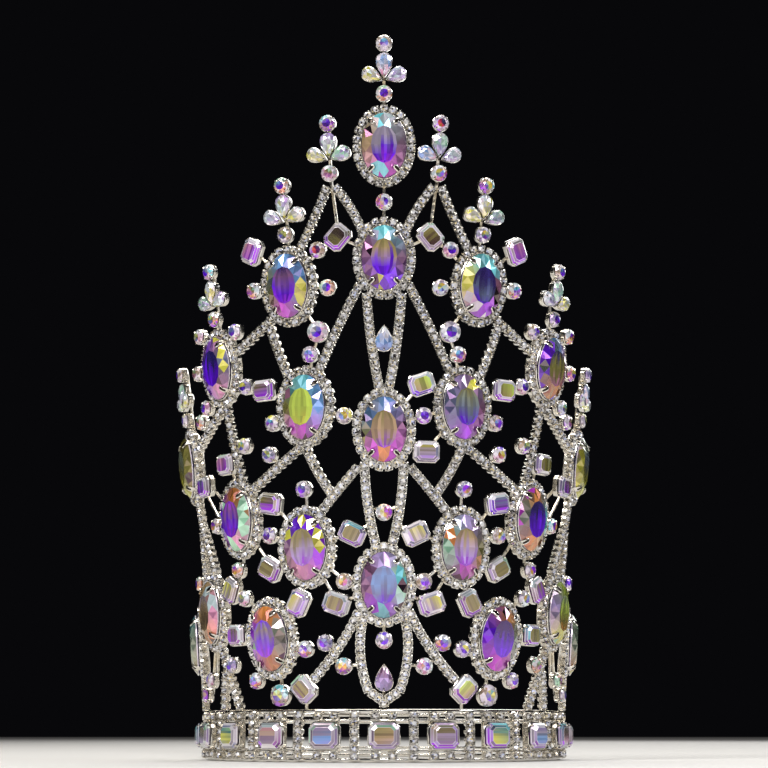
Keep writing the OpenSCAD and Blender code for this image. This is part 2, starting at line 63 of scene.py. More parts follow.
camera_data = bpy.data.cameras.new("camera")
camera_data.lens = LENS_MM
camera_data.sensor_width = SENSOR_MM
camera = bpy.data.objects.new("camera", camera_data)
camera.location = (0, -DISTANCE, EYE_HEIGHT)
camera.rotation_euler = (math.pi / 2 + math.atan2(AIM_HEIGHT - EYE_HEIGHT, DISTANCE), 0, 0)
bpy.context.scene.collection.objects.link(camera)
bpy.context.scene.camera = camera
bpy.context.scene.view_settings.view_transform = "Standard"
print("camera at", tuple(round(x, 3) for x in camera.location))

# %% [markdown]
# ## Colours and materials
# Colours are typed as they look on a screen, in hexadecimal, and one function turns them to the linear
# values that the renderer adds up. One small function adds a node to a material with its settings and links.

# %% Colour and node helpers
def linear(text):
    """Linear red, green and blue of an sRGB colour in hex: each channel c becomes c / 12.92 below 0.04045,
    and ((c + 0.055) / 1.055) to the power 2.4 above it."""
    c = np.array([int(text[i:i + 2], 16) for i in (0, 2, 4)]) / 255
    return np.where(c <= 0.04045, c / 12.92, ((c + 0.055) / 1.055) ** 2.4)


def add_node(tree, kind, settings=None, **inputs):
    """Adds a node, sets its properties, and sets each named input to a value or links it to a socket."""
    node = tree.nodes.new(kind)
    for name, value in (settings or {}).items():
        setattr(node, name, value)
    for name, value in inputs.items():
        socket = node.inputs[name.replace("_", " ")]
        if isinstance(value, bpy.types.NodeSocket):
            tree.links.new(value, socket)
        else:
            socket.default_value = value
    return node


def new_material(name):
    """An empty material and its node tree, with the output node ready."""
    material = bpy.data.materials.new(name)
    material.use_nodes = True
    material.node_tree.nodes.clear()
    output = add_node(material.node_tree, "ShaderNodeOutputMaterial")
    return material, material.node_tree, output


print("a mid grey of 808080 is", linear("808080").round(3), "in linear light")


# %% [markdown]
# ## Silver plate
# The metal is brass with a bright silvery plating of rhodium, never polished after soldering. It mirrors
# the studio, with a fine ripple of solder and a little warm brass where the plating is thin. A mirror shows
# only what stands round it, so the ripple and the roughness do more for it than its colour. A picture of
# scratches could be laid over it, but a noise needs no picture and keeps its size in millimetres.

# %% Bright plated brass
PLATE, PLATE_WARM = "EDEAE4", "D9C7A0"
# A ripple of solder is a millimetre or two wide, which is four pixels here, so it keeps its real size
RIPPLE_MM, DENT_MM = 1.6, 0.15
PATCH_MM = 4 * RIPPLE_MM


def plated_brass(name, warmth, roughness, cool=PLATE, warm=PLATE_WARM, dents=0.25):
    """Plated metal. A soft noise of PATCH_MM mixes cool plate with warm. A finer one of RIPPLE_MM moves the
    roughness between 0.6 and 1.5 times its value, and dents the surface by the share dents of DENT_MM."""
    material, tree, output = new_material(name)
    place = add_node(tree, "ShaderNodeTexCoord")
    patches = add_node(tree, "ShaderNodeTexNoise", Vector=place.outputs["Object"],
                       Scale=1 / (PATCH_MM * MM), Detail=3.0, Roughness=0.6)
    ripple = add_node(tree, "ShaderNodeTexNoise", Vector=place.outputs["Object"],
                      Scale=1 / (RIPPLE_MM * MM), Detail=2.0)
    tint = add_node(tree, "ShaderNodeValToRGB", Fac=patches.outputs["Fac"])
    mixed = linear(cool) * (1 - warmth) + linear(warm) * warmth
    for stop, position, colour in zip(tint.color_ramp.elements, (0.35, 0.75), (linear(cool), mixed)):
        stop.position = position
        stop.color = (*colour, 1)
    rough = add_node(tree, "ShaderNodeMapRange", Value=ripple.outputs["Fac"], From_Min=0.3, From_Max=0.7,
                     To_Min=roughness * 0.6, To_Max=roughness * 1.5)
    bump = add_node(tree, "ShaderNodeBump", Height=ripple.outputs["Fac"], Strength=dents,
                    Distance=DENT_MM * MM)
    shader = add_node(tree, "ShaderNodeBsdfPrincipled", Base_Color=tint.outputs["Color"], Metallic=1.0,
                      Roughness=rough.outputs["Result"], Normal=bump.outputs["Normal"])
    tree.links.new(shader.outputs["BSDF"], output.inputs["Surface"])
    return material


print("ripple of", RIPPLE_MM, "mm in patches of", PATCH_MM, "mm")

# %% The metals of the crown
# Stamped cups glitter, because each of their many small walls mirrors another part of the room
CUP_METAL = plated_brass("rhodium plated brass, stamped cups", 0.35, 0.18)
# Drawn wire is smooth along its length, so a rail shows one long clean streak of light
RAIL_METAL = plated_brass("rhodium plated brass, drawn rail", 0.15, 0.12, dents=0.06)
# A pressed pan is a little dull, so its back looks an even grey
PAN_METAL = plated_brass("rhodium plated brass, pressed pans and prongs", 0.35, 0.23, dents=0.12)
# Wire dipped in solder is warm and soft, and stays behind the bright cups
WIRE_METAL = plated_brass("solder dipped brass wire", 0.9, 0.28)
# Painted shade: a very dark metal on a strip down the hollow of a prong stands for the shade there, which
# draws the prong as two thin bright lines
PAINTED_SHADE_METAL = plated_brass("brass painted dark as shade down the grooves of prongs", 1.0, 0.3, "332C28", "1E1A18")
METALS = (CUP_METAL, RAIL_METAL, PAN_METAL, WIRE_METAL, PAINTED_SHADE_METAL)
print("metals:", " / ".join(metal.name for metal in METALS))

# %% [markdown]
# ## Coated crystal
# The stones are cut lead crystal with a rainbow coating and a foil behind. What the eye sees in such a stone
# is the far side: each facet of the back mirrors another part of the room through the front. So each facet
# carries its own colour as an attribute of its corners, under a hard clear coat that gives the polish.
# Glass over a mirror could be traced for real, but its colours can't be written down stone by stone, and it
# takes many more paths of light to come out clean.

# %% Crystal that takes its colour from its facets
CRYSTAL_IOR, FILM_IOR, COATING_NM = 1.56, 1.9, 420
POLISH = 0.02
FACET = "facet_colour"


def coated_crystal(name, metallic, roughness, film):
    """Cut crystal: the facets' own colour, part mirror, under a polished coat and a thin film of film nm."""
    material, tree, output = new_material(name)
    colour = add_node(tree, "ShaderNodeVertexColor", {"layer_name": FACET})
    shader = add_node(tree, "ShaderNodeBsdfPrincipled", Base_Color=colour.outputs["Color"],
                      Metallic=metallic, Roughness=roughness, IOR=CRYSTAL_IOR, Coat_Weight=1.0,
                      Coat_Roughness=POLISH, Coat_IOR=CRYSTAL_IOR, Thin_Film_Thickness=film,
                      Thin_Film_IOR=FILM_IOR)
    tree.links.new(shader.outputs["BSDF"], output.inputs["Surface"])
    return material


# A third mirror and the rest colour: the facets stay vivid, and the coat above them gives the white glints
RAINBOW_CRYSTAL = coated_crystal("lead crystal, rainbow coated and foiled", 0.35, 0.2, COATING_NM)
# No film and a smoother mirror, over facets painted as white, grey and black glints and reflections: the
# small stones of the chains flash
CLEAR_CRYSTAL = coated_crystal("lead crystal, clear and foiled", 0.4, 0.12, 0)
print("crystals:", RAINBOW_CRYSTAL.name, "/", CLEAR_CRYSTAL.name)

# %% [markdown]
# ## The wall that carries everything
# The front is a wall that leans out as it rises. A place on it is an azimuth and a share of the full height.
# At each place three directions are wanted: across, up the slope, and straight out of the wall. A flat
# crown could be bent to a ring by a modifier, but that would bend every stone with it. Here each piece keeps
# its shape and is only set down on the wall.

# %% Main sizes of the crown, in millimetres
BASE_R, CROWN_H = 76.0, 284.0
FLARE, EVEN_LEAN = 38.0, 0.35
BAND_H, RAIL_W = 20.6, 1.8
RAIL_R = BASE_R - RAIL_W / 2
OVAL_A, OVAL_B = 9.0, 13.0
CHAIN_W, GAP = 3.6, 0.2
HALO_A, HALO_B = OVAL_A + GAP + CHAIN_W, OVAL_B + GAP + CHAIN_W
BORDER_A, BORDER_B = HALO_A - CHAIN_W / 2, HALO_B - CHAIN_W / 2
print(f"ring {2 * BASE_R:.0f} mm across, front {CROWN_H:.0f} mm high, ovals {2 * OVAL_A:.0f} mm wide")


# %% Where a place on the wall is, and which way it faces
FLIP = np.array([-1, 1, 1])


def wall_r(z):
    """Radius of the wall at height z: it leans out by FLARE in all, the share EVEN_LEAN of it in proportion
    to the height, and the rest with the height's square."""
    return RAIL_R + FLARE * (EVEN_LEAN * z / CROWN_H + (1 - EVEN_LEAN) * (z / CROWN_H) ** 2)


def wall_point(az, z):
    """Point of the wall at azimuth az in degrees, counted from the front towards +X: the radius times the
    sine in x, and times minus the cosine in y."""
    a = np.radians(az)
    return np.stack([wall_r(z) * np.sin(a), -wall_r(z) * np.cos(a), z + 0 * a], -1)


def wall_axes(az, z):
    """Rows across, up the slope and out of the wall; the lean is the slope of wall_r."""
    a = np.radians(az)
    lean = np.arctan(FLARE * (EVEN_LEAN / CROWN_H + 2 * (1 - EVEN_LEAN) * z / CROWN_H ** 2))
    sin_a, cos_a, sin_l, cos_l = np.sin(a), np.cos(a), np.sin(lean), np.cos(lean)
    across = np.stack([cos_a, sin_a, 0 * a], -1)
    up = np.stack([sin_a * sin_l, -cos_a * sin_l, cos_l + 0 * a], -1)
    out = np.stack([sin_a * cos_l, -cos_a * cos_l, -sin_l + 0 * a], -1)
    return np.stack([across, up, out], -2)


def out_of_wall(points):
    """Direction straight out of the wall at each of some points that lie on it."""
    return wall_axes(np.degrees(np.arctan2(points[:, 0], -points[:, 1])), points[:, 2])[:, 2]


def turned(axes, turn):
    """The same directions turned by some degrees in the wall's own plane, counter-clockwise as seen from
    the front."""
    c, s = np.cos(np.radians(turn))[..., None], np.sin(np.radians(turn))[..., None]
    right, up, out = axes[..., 0, :], axes[..., 1, :], axes[..., 2, :]
    return np.stack([c * right + s * up, c * up - s * right, out], -2)


print("the wall leans out to radius", round(float(wall_r(CROWN_H)), 1), "mm at", CROWN_H, "mm")


# %% Rows of places, and their mirror images
def seats(rows):
    """Points and axes of rows of azimuth, share of the height and turn."""
    az, share, turn = np.array(rows, float).T
    return wall_point(az, share * CROWN_H), turned(wall_axes(az, share * CROWN_H), turn)


def both_sides(rows):
    """The rows, and the same rows on the other side, with azimuth and turn mirrored."""
    rows = np.array(rows, float)
    return np.concatenate([rows, rows * [-1, 1, -1]])


def mirrored(points):
    """The points, and the same points on the other side of the crown."""
    return np.concatenate([points, points * FLIP])


print("a row and its mirror image:", *both_sides([(15, 0.5, 20)]))

# %% [markdown]
# ## One way to build every mesh
# A piece collects points and blocks of faces as whole arrays. A small form, such as a cup, is worked out
# once round its own origin and then set down at all its places with one product of arrays. Instances on
# points could repeat it too, but all copies would then share one set of colours, and each stone has its own.

# %% Grids and lofts
def grid_faces(rows, columns, close_rows=False):
    """Quads of a grid whose columns close round, from each row of points to the next."""
    i = np.arange(rows if close_rows else rows - 1)[:, None] * columns
    j = np.arange(columns)
    k = (j + 1) % columns
    up = (i + columns) % (rows * columns)
    return np.stack([i + j, i + k, up + k, up + j], -1).reshape(-1, 4)


def round_angles(count, shift=0.0):
    """Even angles round a circle, in radians, each moved on by a share of a step."""
    return (np.arange(count) + shift) * 2 * np.pi / count


def loft(rings):
    """A closed form through rings of points, with its first and last ring capped by one face each."""
    m, n = rings.shape[:2]
    ring = np.arange(n)[None]
    return rings.reshape(-1, 3), [grid_faces(m, n), ring[:, ::-1], ring + (m - 1) * n]


def flat_bar(half_x, half_y, low, high):
    """A box from low to high, lofted from one rectangle to the next."""
    x, y = half_x * np.array([-1, 1, 1, -1]), half_y * np.array([-1, -1, 1, 1])
    return loft(np.stack([np.stack([x, y, np.full(4, z)], -1) for z in (low, high)]))


print("a flat bar has", sum(map(len, flat_bar(1, 1, 0, 1)[1])), "faces")


# %% Copies and joined forms
def copies(form, origins, axes):
    """The form set down at each origin, its x, y and z along the rows of axes there."""
    points, blocks = form
    spots = origins[:, None, :] + np.einsum("vj,njk->nvk", points, axes)
    steps = np.arange(len(origins))[:, None, None] * len(points)
    return spots.reshape(-1, 3), [(block[None] + steps).reshape(-1, block.shape[1]) for block in blocks]


def joined(*forms):
    """Several forms as one: points end to end, with each form's faces counted on past the last."""
    points, blocks, count = [], [], 0
    for form_points, form_blocks in forms:
        points.append(form_points)
        blocks += [block + count for block in form_blocks]
        count += len(form_points)
    return np.concatenate(points), blocks


print("two bars joined have", len(joined(flat_bar(1, 1, 0, 1), flat_bar(1, 1, 2, 3))[0]), "points")


# %% From arrays to a piece that rides on the frame
def make_piece(name, form, material, replaces=(), tints=None, crease=None):
    """Writes points in millimetres and blocks of faces to a mesh. tints holds a colour for each corner of
    each block. Edges sharper than crease degrees stay sharp, and without crease every facet is flat."""
    points, blocks = form
    corners = np.concatenate([block.ravel() for block in blocks])
    sizes = np.concatenate([np.full(len(block), block.shape[1]) for block in blocks])
    mesh = bpy.data.meshes.new(name)
    mesh.vertices.add(len(points))
    mesh.vertices.foreach_set("co", (points * MM).astype(np.float32).ravel())
    mesh.loops.add(len(corners))
    mesh.loops.foreach_set("vertex_index", corners.astype(np.int32))
    mesh.polygons.add(len(sizes))
    mesh.polygons.foreach_set("loop_start", (np.cumsum(sizes) - sizes).astype(np.int32))
    mesh.update(calc_edges=True)
    if tints is not None:
        colour = np.concatenate([tint.reshape(-1, 3) for tint in tints])
        layer = mesh.color_attributes.new(FACET, "FLOAT_COLOR", "CORNER")
        layer.data.foreach_set("color", np.c_[colour, np.ones(len(colour))].astype(np.float32).ravel())
    mesh.validate()
    if crease is None:
        mesh.shade_flat()
    else:
        mesh.shade_smooth()
        mesh.set_sharp_from_angle(angle=math.radians(crease))
    mesh.materials.append(material)
    piece = bpy.data.objects.new(name, mesh)
    bpy.context.scene.collection.objects.link(piece)
    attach(piece, "root")
    if replaces:
        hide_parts(*replaces)
    print(f"{name}: {len(mesh.polygons)} faces, reaches {np.abs(points[:, 0]).max():.2f} mm to the side")


def metal_piece(name, form, material, crease, replaces=()):
    """A piece of metal, with the edges sharper than crease degrees kept sharp."""
    make_piece(name, form, material, replaces, crease=crease)


# %% [markdown]
# ## Where the stones and chains go
# The large ovals stand in five rows, and all else is placed from them. The right half is written down and
# mirrored. A chain runs between two places: on the border of an oval, at a clock angle from its top, on
# another chain, or at a point of the wall where chains branch or reach the band or the foot of a finial.
# The row of a small stone also names the places that its wires run to, so that the two stay together. All
# of it could be moved about by eye, but rows of numbers can be mirrored, checked and changed.

# %% The ovals and the chains: azimuth and share of the height, with an oval's turn and a chain's bow
OVALS = {
    "1c": (0, 0.852, 0), "2c": (0, 0.696, 0), "2r": (23.6, 0.664, 0), "3c": (0, 0.457, 0),
    "3r": (20.8, 0.492, 4), "3o": (48, 0.564, 0), "4c": (0, 0.242, 0), "4r": (21.9, 0.296, 0),
    "4m": (45, 0.343, 0), "4o": (72, 0.436, 0), "5r": (34.6, 0.171, -8), "5m": (62, 0.214, 0),
    "5o": (84, 0.172, 0),
}
FINIAL_FOOT, INNER_FOOT, OUTER_FOOT = (12, 0.797), (11, 0.797), (13, 0.797)
OVAL_2_APEX, OVAL_3_SIDE = (30, 0.616), (7.1, 0.4045)
DIAGONAL_END, CHEVRON_END = (20, 0.121), (4.5, 0.097)
CHEVRON_TIP, SIDE_APEX, LOW_APEX = (0, 0.0825), (67.3, 0.345), (55.8, 0.136)
BAND_TOP = BAND_H / CROWN_H
# A place on a chain is ON_CHAIN, its number in CHAINS, counted from 0, and a share of the way along it
TO_3C, TO_4M_INNER, TO_4R, TO_4C, TO_4M, TO_4O, DIAGONAL, TO_CHEVRON = 3, 7, 8, 9, 10, 11, 12, 13
ON_CHAIN = "on a chain"
MEETING = (ON_CHAIN, TO_4R, 0.62)
BRANCHES = (OVAL_2_APEX, SIDE_APEX, LOW_APEX)
CHAINS = [
    (INNER_FOOT, ("2c", 49), -0.6), (OUTER_FOOT, ("2r", -28), -0.4), (("2c", 127), ("3r", -27), 0.2),
    (("2c", 140), ("3c", 8), 0.6), (OVAL_2_APEX, ("3r", 41), 0.4), (OVAL_2_APEX, ("3o", -73), -0.2),
    (("3r", 180), MEETING, 0.6), (("3r", 180), ("4m", -46), -0.4), (OVAL_3_SIDE, ("4r", -31), 0),
    (("3c", 136), ("4c", 15), 0.9), (("3o", 188), ("4m", -20), 0.6), (("3o", 188), ("4o", -72), -0.8),
    (("4c", 125), (21, 0.1125), -1.5), (("4c", 137), CHEVRON_END, 1.85), (CHEVRON_END, CHEVRON_TIP, 0),
    (("4o", 200), SIDE_APEX, 0), (SIDE_APEX, ("5m", -28), -0.5), (SIDE_APEX, ("5m", 34), 0.8),
    (("5m", 205), LOW_APEX, 0), (LOW_APEX, (49, BAND_TOP), -0.3), (LOW_APEX, (58, BAND_TOP), 0.3),
    (("5o", 176), (83, BAND_TOP), 0), (("2r", 137), OVAL_2_APEX, 0),
]
print(len(OVALS), "places of ovals and", len(CHAINS), "chains on the right side")

# %% The small stones: azimuth, share, turn of an octagon, and the places that the wires run to
# An oval alone is the point of its border that faces the stone
ROUNDS = {
    "upper_rounds": [
        (15.7, 0.7105, "2r", (10.8, 0.727)), (13.6, 0.657, "2r"), (33.4, 0.664, "2r"),
        (16.5, 0.596, "2r", (18.8, 0.565))],
    "middle_rounds": [
        (18.8, 0.565, "3r"), (40.7, 0.611, "3o"), (55.3, 0.618, "3o"), (58.5, 0.566, "3o"),
        (38.6, 0.53, "3o", (32.6, 0.521)), (30.6, 0.473, "3r"), (10.3, 0.477, "3r", "3c"),
        (55.6, 0.512, "3o"), (59.6, 0.494, (ON_CHAIN, TO_4O, 0.62)), (40.7, 0.446, (ON_CHAIN, TO_4M, 0.58)),
        (32.2, 0.429, (ON_CHAIN, TO_4M_INNER, 0.48))],
    "lower_rounds": [
        (22.1, 0.377, "4r"), (33.6, 0.315, "4r", "4m"), (11.1, 0.247, "4c", "4r"), (55.7, 0.338, "4m", "4o"),
        (46.3, 0.27, "4m", (50.2, 0.245)), (44.2, 0.229, "5r", (50.2, 0.245)), (72.5, 0.26, "5m"),
        (23.1, 0.155, "5r"), (16.9, 0.163, (ON_CHAIN, DIAGONAL, 0.64)),
        (11.6, 0.131, (ON_CHAIN, DIAGONAL, 0.72), (ON_CHAIN, TO_CHEVRON, 0.67)), (40.7, 0.113, "5r"),
        (51.4, 0.136, LOW_APEX), (31.8, 0.092, "5r"), (66, 0.116, "5m"), (72.4, 0.096, "5m", "5o")],
}
BIG_ROUNDS = [(16.5, 0.596), (31.8, 0.092)]
CENTRE_ROUNDS = {"upper_rounds": [0.774], "middle_rounds": [], "lower_rounds": [0.342, 0.166]}
OCTAGONS = {
    "upper_octagons": [(10.8, 0.727, -48, "2c", FINIAL_FOOT), (33, 0.72, -62, "2r")],
    "middle_octagons": [(32.6, 0.521, 0, "3r")],
    "lower_octagons": [
        (48.7, 0.424, 0, "4m", (ON_CHAIN, TO_4M, 0.66)), (32.8, 0.36, 10, "4r", "4m"),
        (8.7, 0.313, 26, (ON_CHAIN, TO_4C, 0.73), "4r"), (34, 0.268, 30, "4r", "4m"),
        (13.5, 0.217, 20, "4c", "4r"), (25, 0.219, -62, "4r", "5r"), (61, 0.399, 0, "4m", "4o"),
        (50.1, 0.243, -60, "5m"), (48.5, 0.178, 0, "5r", "5m"),
        (23.9, 0.1, 48, (23.9, BAND_TOP), DIAGONAL_END)],
}
# Two octagons stand on the right side alone
RIGHT_OCTAGONS = [(9.6, 0.521, 20, "3c", "3r"), (11.2, 0.427, 0, "3c", "3r")]
DROPS = {"drop_upper": 0.584, "drop_lower": 0.115}
ROUND_ROWS, OCTAGON_ROWS = sum(ROUNDS.values(), []), sum(OCTAGONS.values(), [])
print(len(ROUND_ROWS), "rounds and", len(OCTAGON_ROWS), "octagons on the right side")


# %% Points on the borders of the ovals
def border_point(key, clock):
    """Middle of an oval's border at a clock angle, in the wall: half sizes times sine and cosine."""
    centre, axes = seats([OVALS[key]])
    x, y = BORDER_A * math.sin(math.radians(clock)), BORDER_B * math.cos(math.radians(clock))
    return centre[0] + x * axes[0, 0] + y * axes[0, 1]


def nearest_clock(key, point):
    """Clock angle at which a border faces a point: the point's direction in the oval's own half sizes."""
    centre, axes = seats([OVALS[key]])
    x, y = axes[0, :2] @ (point - centre[0])
    return math.degrees(math.atan2(x / HALO_A, y / HALO_B))


print("top of the highest border:", border_point("1c", 0).round(1))

# %% Points along the chains
CURVE_STEPS = 60


def chain_curve(start, end, bow):
    """Fine polyline of a chain: the parabola through its two ends and a middle that is bowed along the wall
    by some degrees."""
    p, q = place_point(start), place_point(end)
    middle = math.degrees(math.atan2(p[0], -p[1]) + math.atan2(q[0], -q[1])) / 2 + bow
    m = wall_point(middle, (p[2] + q[2]) / 2)
    t = np.linspace(0, 1, CURVE_STEPS + 1)[:, None]
    return (1 - t) * (1 - 2 * t) * p + 4 * t * (1 - t) * m + t * (2 * t - 1) * q


def place_point(place, towards=None):
    """A place as a point: on an oval's border, along a chain, or at an azimuth and share of the wall."""
    if isinstance(place, str):
        return border_point(place, nearest_clock(place, towards))
    if place[0] == ON_CHAIN:
        return chain_curve(*CHAINS[place[1]])[round(place[2] * CURVE_STEPS)]
    if isinstance(place[0], str):
        return border_point(*place)
    return wall_point(place[0], place[1] * CROWN_H)


# An oval on the centre line has azimuth 0 and no copy on the left
oval_rows = both_sides(list(OVALS.values()))
left_ovals = [len(OVALS) + i for i, row in enumerate(OVALS.values()) if row[0]]
oval_rows = oval_rows[np.r_[:len(OVALS), left_ovals]]
print(len(oval_rows), "ovals in all, the diagonal chain ends at", place_point(DIAGONAL_END).round(1))

# %% [markdown]
# ## Cup chain
# Cup chain is brass cups in a row, each with four claws pressed over a small cut crystal. It is the texture
# of the whole crown, nearly a thousand cups, so one cup has only a few dozen faces. A cup is a loft through
# four rings: out at the foot, up the wall, over the rim and down to the seat. Round an oval the cups are
# rounder, and in a chain they are squarer, with a short link under each to the next. A bump or a picture
# could hint at them, but they stand out against the dark room, so they are real shapes.

# %% Rings and claws
CLAW_IN, CLAW_OUT = 0.2, 0.25
DIAGONALS = [45, 135, 225, 315]


def soft_square(count, radius, power):
    """Ring of points between a circle, power 2, and a square: radius over the root of the powers' sum, with
    cosine and sine raised to the power."""
    t = round_angles(count, 0.5)
    reach = radius / (np.abs(np.cos(t)) ** power + np.abs(np.sin(t)) ** power) ** (1 / power)
    return np.stack([reach * np.cos(t), reach * np.sin(t)], -1)


def ring_at(outline, share, z):
    """An outline shrunk to a share of itself and lifted to height z."""
    return np.c_[outline * share, np.full(len(outline), float(z))]


def claws(reach, angles, low, high, inward, width, bent=True):
    """Claws round a stone, at their angles in degrees: each a bar from low to high that narrows and leans
    in over the stone. A bent one rises straight to a knee first."""
    x = reach + np.array([-CLAW_IN, CLAW_OUT, CLAW_OUT, -CLAW_IN])
    y = np.array([-width, -width, width, width]) / 2
    foot = np.stack([x, y, np.full(4, low)], -1)
    knee = np.stack([x - 0.05, y * 0.9, np.full(4, high - 0.5)], -1)
    tip = np.stack([x - inward * np.array([1.3, 0.8, 0.8, 1.3]), y * 0.6,
                    high + np.array([-0.05, 0, 0, -0.05])], -1)
    form = loft(np.stack([foot, knee, tip] if bent else [foot, tip]))
    c, s, o = np.cos(np.radians(angles)), np.sin(np.radians(angles)), np.zeros(len(angles))
    turn = np.stack([np.stack([c, s, o], -1), np.stack([-s, c, o], -1), np.stack([o, o, o + 1], -1)], -2)
    return copies(form, np.zeros((len(angles), 3)), turn)


print("a soft square of radius 1 reaches", soft_square(8, 1, 6).max().round(2), "to the side")

# %% Cups of the chains
CUP_R, CUP_H, CUP_SIDES, FLOOR_T = 1.78, 1.5, 8, 0.8
CUP_RINGS = [(0.86, -FLOOR_T), (1, CUP_H), (0.84, CUP_H), (0.7, 0.4)]
CHAIN_CLAW = dict(low=1.2, high=2.35, inward=0.45, width=0.62, bent=False)
LINK = flat_bar(2.0, 0.5, -0.6, -0.1)
STRAND_LONG, STRAND_WIDE = 0.86, 1.08


def chain_cup(power, claw_reach, along, wide):
    """Cup with claws at its corners and a short link under it to the next one. Its length along the chain
    and its width across it are shares of the plain cup's."""
    outline = soft_square(CUP_SIDES, CUP_R, power)
    shell = loft(np.stack([ring_at(outline, share, z) for share, z in CUP_RINGS]))
    points, blocks = joined(shell, LINK, claws(claw_reach, DIAGONALS, **CHAIN_CLAW))
    return points * [along, wide, 1], blocks


HALO_CUP = chain_cup(power=3, claw_reach=1.85, along=1, wide=1.02)
STRAND_CUP = chain_cup(power=6, claw_reach=2.1, along=STRAND_LONG, wide=STRAND_WIDE)
print("a cup has", sum(map(len, STRAND_CUP[1])), "faces")


# %% The small stone in a chain's cup
STONE_R, STONE_SIDES, TABLE_SHARE = 1.5, 8, 0.56
TABLE_Z, GIRDLE_Z, POINT_Z = 2.35, 1.55, 0.2


def small_brilliant():
    """Small cut stone: a table in four, a crown of triangles to the girdle, and a point behind."""
    n = STONE_SIDES
    i, t = np.arange(n), round_angles(n)
    j = (i + 1) % n
    half = np.pi / n
    unit, shifted = (np.stack([np.cos(a), np.sin(a)], -1) for a in (t, t + half))
    table, girdle = ring_at(unit, TABLE_SHARE * STONE_R, TABLE_Z), ring_at(shifted, STONE_R, GIRDLE_Z)
    crown = np.concatenate([np.stack([i, i + n, j], -1), np.stack([i + n, j + n, j], -1)])
    pavilion = np.stack([np.full(n, 2 * n), j + n, i + n], -1)
    k = i[::2]
    quarters = np.stack([np.full(n // 2, 2 * n + 1), k, k + 1, (k + 2) % n], -1)
    points = np.concatenate([table, girdle, [[0, 0, POINT_Z], [0, 0, TABLE_Z]]])
    return points, [quarters, crown, pavilion]


CHAIN_STONE = small_brilliant()
STRAND_STONE = (CHAIN_STONE[0] * [STRAND_LONG, 1, 1], CHAIN_STONE[1])
print("its stone has", sum(map(len, CHAIN_STONE[1])), "facets")


# %% [markdown]
# ### Where the cups sit
# A chain keeps its pitch, so cups are spaced evenly by length and not by angle. The length along a curve is
# the running sum of its small steps, and the places at even lengths are read off by interpolation. Where two
# chains meet, a maker leaves out the cup that has no room. So a chain is cut back until its outermost cups
# are clear of all the cups that are already placed, and the rest of it is divided evenly.

# %% Even spacing along a curve
def run_of(curve):
    """Length from the start of a polyline to each of its points: the running sum of its steps."""
    return np.r_[0, np.cumsum(np.linalg.norm(np.diff(curve, axis=0), axis=1))]


def points_at(curve, lengths):
    """Points of a polyline at some lengths along it, read off between its own points."""
    run = run_of(curve)
    return np.stack([np.interp(lengths, run, curve[:, k]) for k in range(3)], -1)


def even_points(curve, count, closed):
    """count points at even lengths along a polyline; a closed one doesn't repeat its first point."""
    return points_at(curve, np.linspace(0, run_of(curve)[-1], count, endpoint=not closed))


def unit_length(vectors):
    """Each vector divided by its own length."""
    return vectors / np.linalg.norm(vectors, axis=1, keepdims=True)


def along_axes(points):
    """Directions at points in an open row: along it, across it, and out of the wall that they lie on."""
    ahead = np.roll(points, -1, 0) - np.roll(points, 1, 0)
    ahead[0], ahead[-1] = points[1] - points[0], points[-1] - points[-2]
    out = out_of_wall(points)
    ahead = unit_length(ahead - (ahead * out).sum(1, keepdims=True) * out)
    return np.stack([ahead, np.cross(out, ahead), out], 1)


diagonal = chain_curve(*CHAINS[DIAGONAL])
print("the diagonal chain is", round(float(run_of(diagonal)[-1]), 1), "mm long")


# %% Cups round the ovals
HALO_CUPS = 23


def border_seats(row):
    """Cups round an oval: even places on the ellipse through the middle of its border."""
    centre, axes = seats([row])
    t = np.linspace(0, 2 * np.pi, 3 * CURVE_STEPS + 1)
    flat = even_points(np.stack([BORDER_A * np.sin(t), BORDER_B * np.cos(t), 0 * t], -1), HALO_CUPS, True)
    ahead = unit_length(np.roll(flat, -1, 0) - np.roll(flat, 1, 0))
    out = np.tile([0, 0, 1.0], (HALO_CUPS, 1))
    return centre + flat @ axes[0], np.stack([ahead, np.cross(out, ahead), out], 1) @ axes[0]


halo_origins, halo_axes = (np.concatenate(part) for part in zip(*map(border_seats, oval_rows)))
print(len(halo_origins), "cups round the ovals")


# %% Where a chain is cut back
CHAIN_PITCH, NEAREST_CUP = 3.1, 2.75
# How far inside a chain's end its outermost cup sits, as a share of the pitch
AT_CUP, AT_RAIL, AT_FREE_END = 0.95, 0.55, 0.3
START_SHARES = {CHEVRON_END: 0, **dict.fromkeys(BRANCHES, AT_CUP)}
END_SHARES = {CHEVRON_TIP: 0.8, **dict.fromkeys(BRANCHES, 0)}


def end_share(place, special):
    """Share for one end: its own if it has one, else by what it meets, a cup, the rail or nothing."""
    if place in special:
        return special[place]
    if isinstance(place[0], str):
        return AT_CUP
    return AT_RAIL if place[1] == BAND_TOP else AT_FREE_END


def clear_stretch(curve, placed):
    """The curve without the ends at which a cup would sit in one of the cups already placed."""
    nearest = np.linalg.norm(curve[:, None] - placed, axis=2).min(1)
    free = np.flatnonzero(nearest >= NEAREST_CUP)
    return curve[free[0]:free[-1] + 1]


print("cups stand about", CHAIN_PITCH, "mm apart, and a chain's ends keep", NEAREST_CUP, "mm from others")


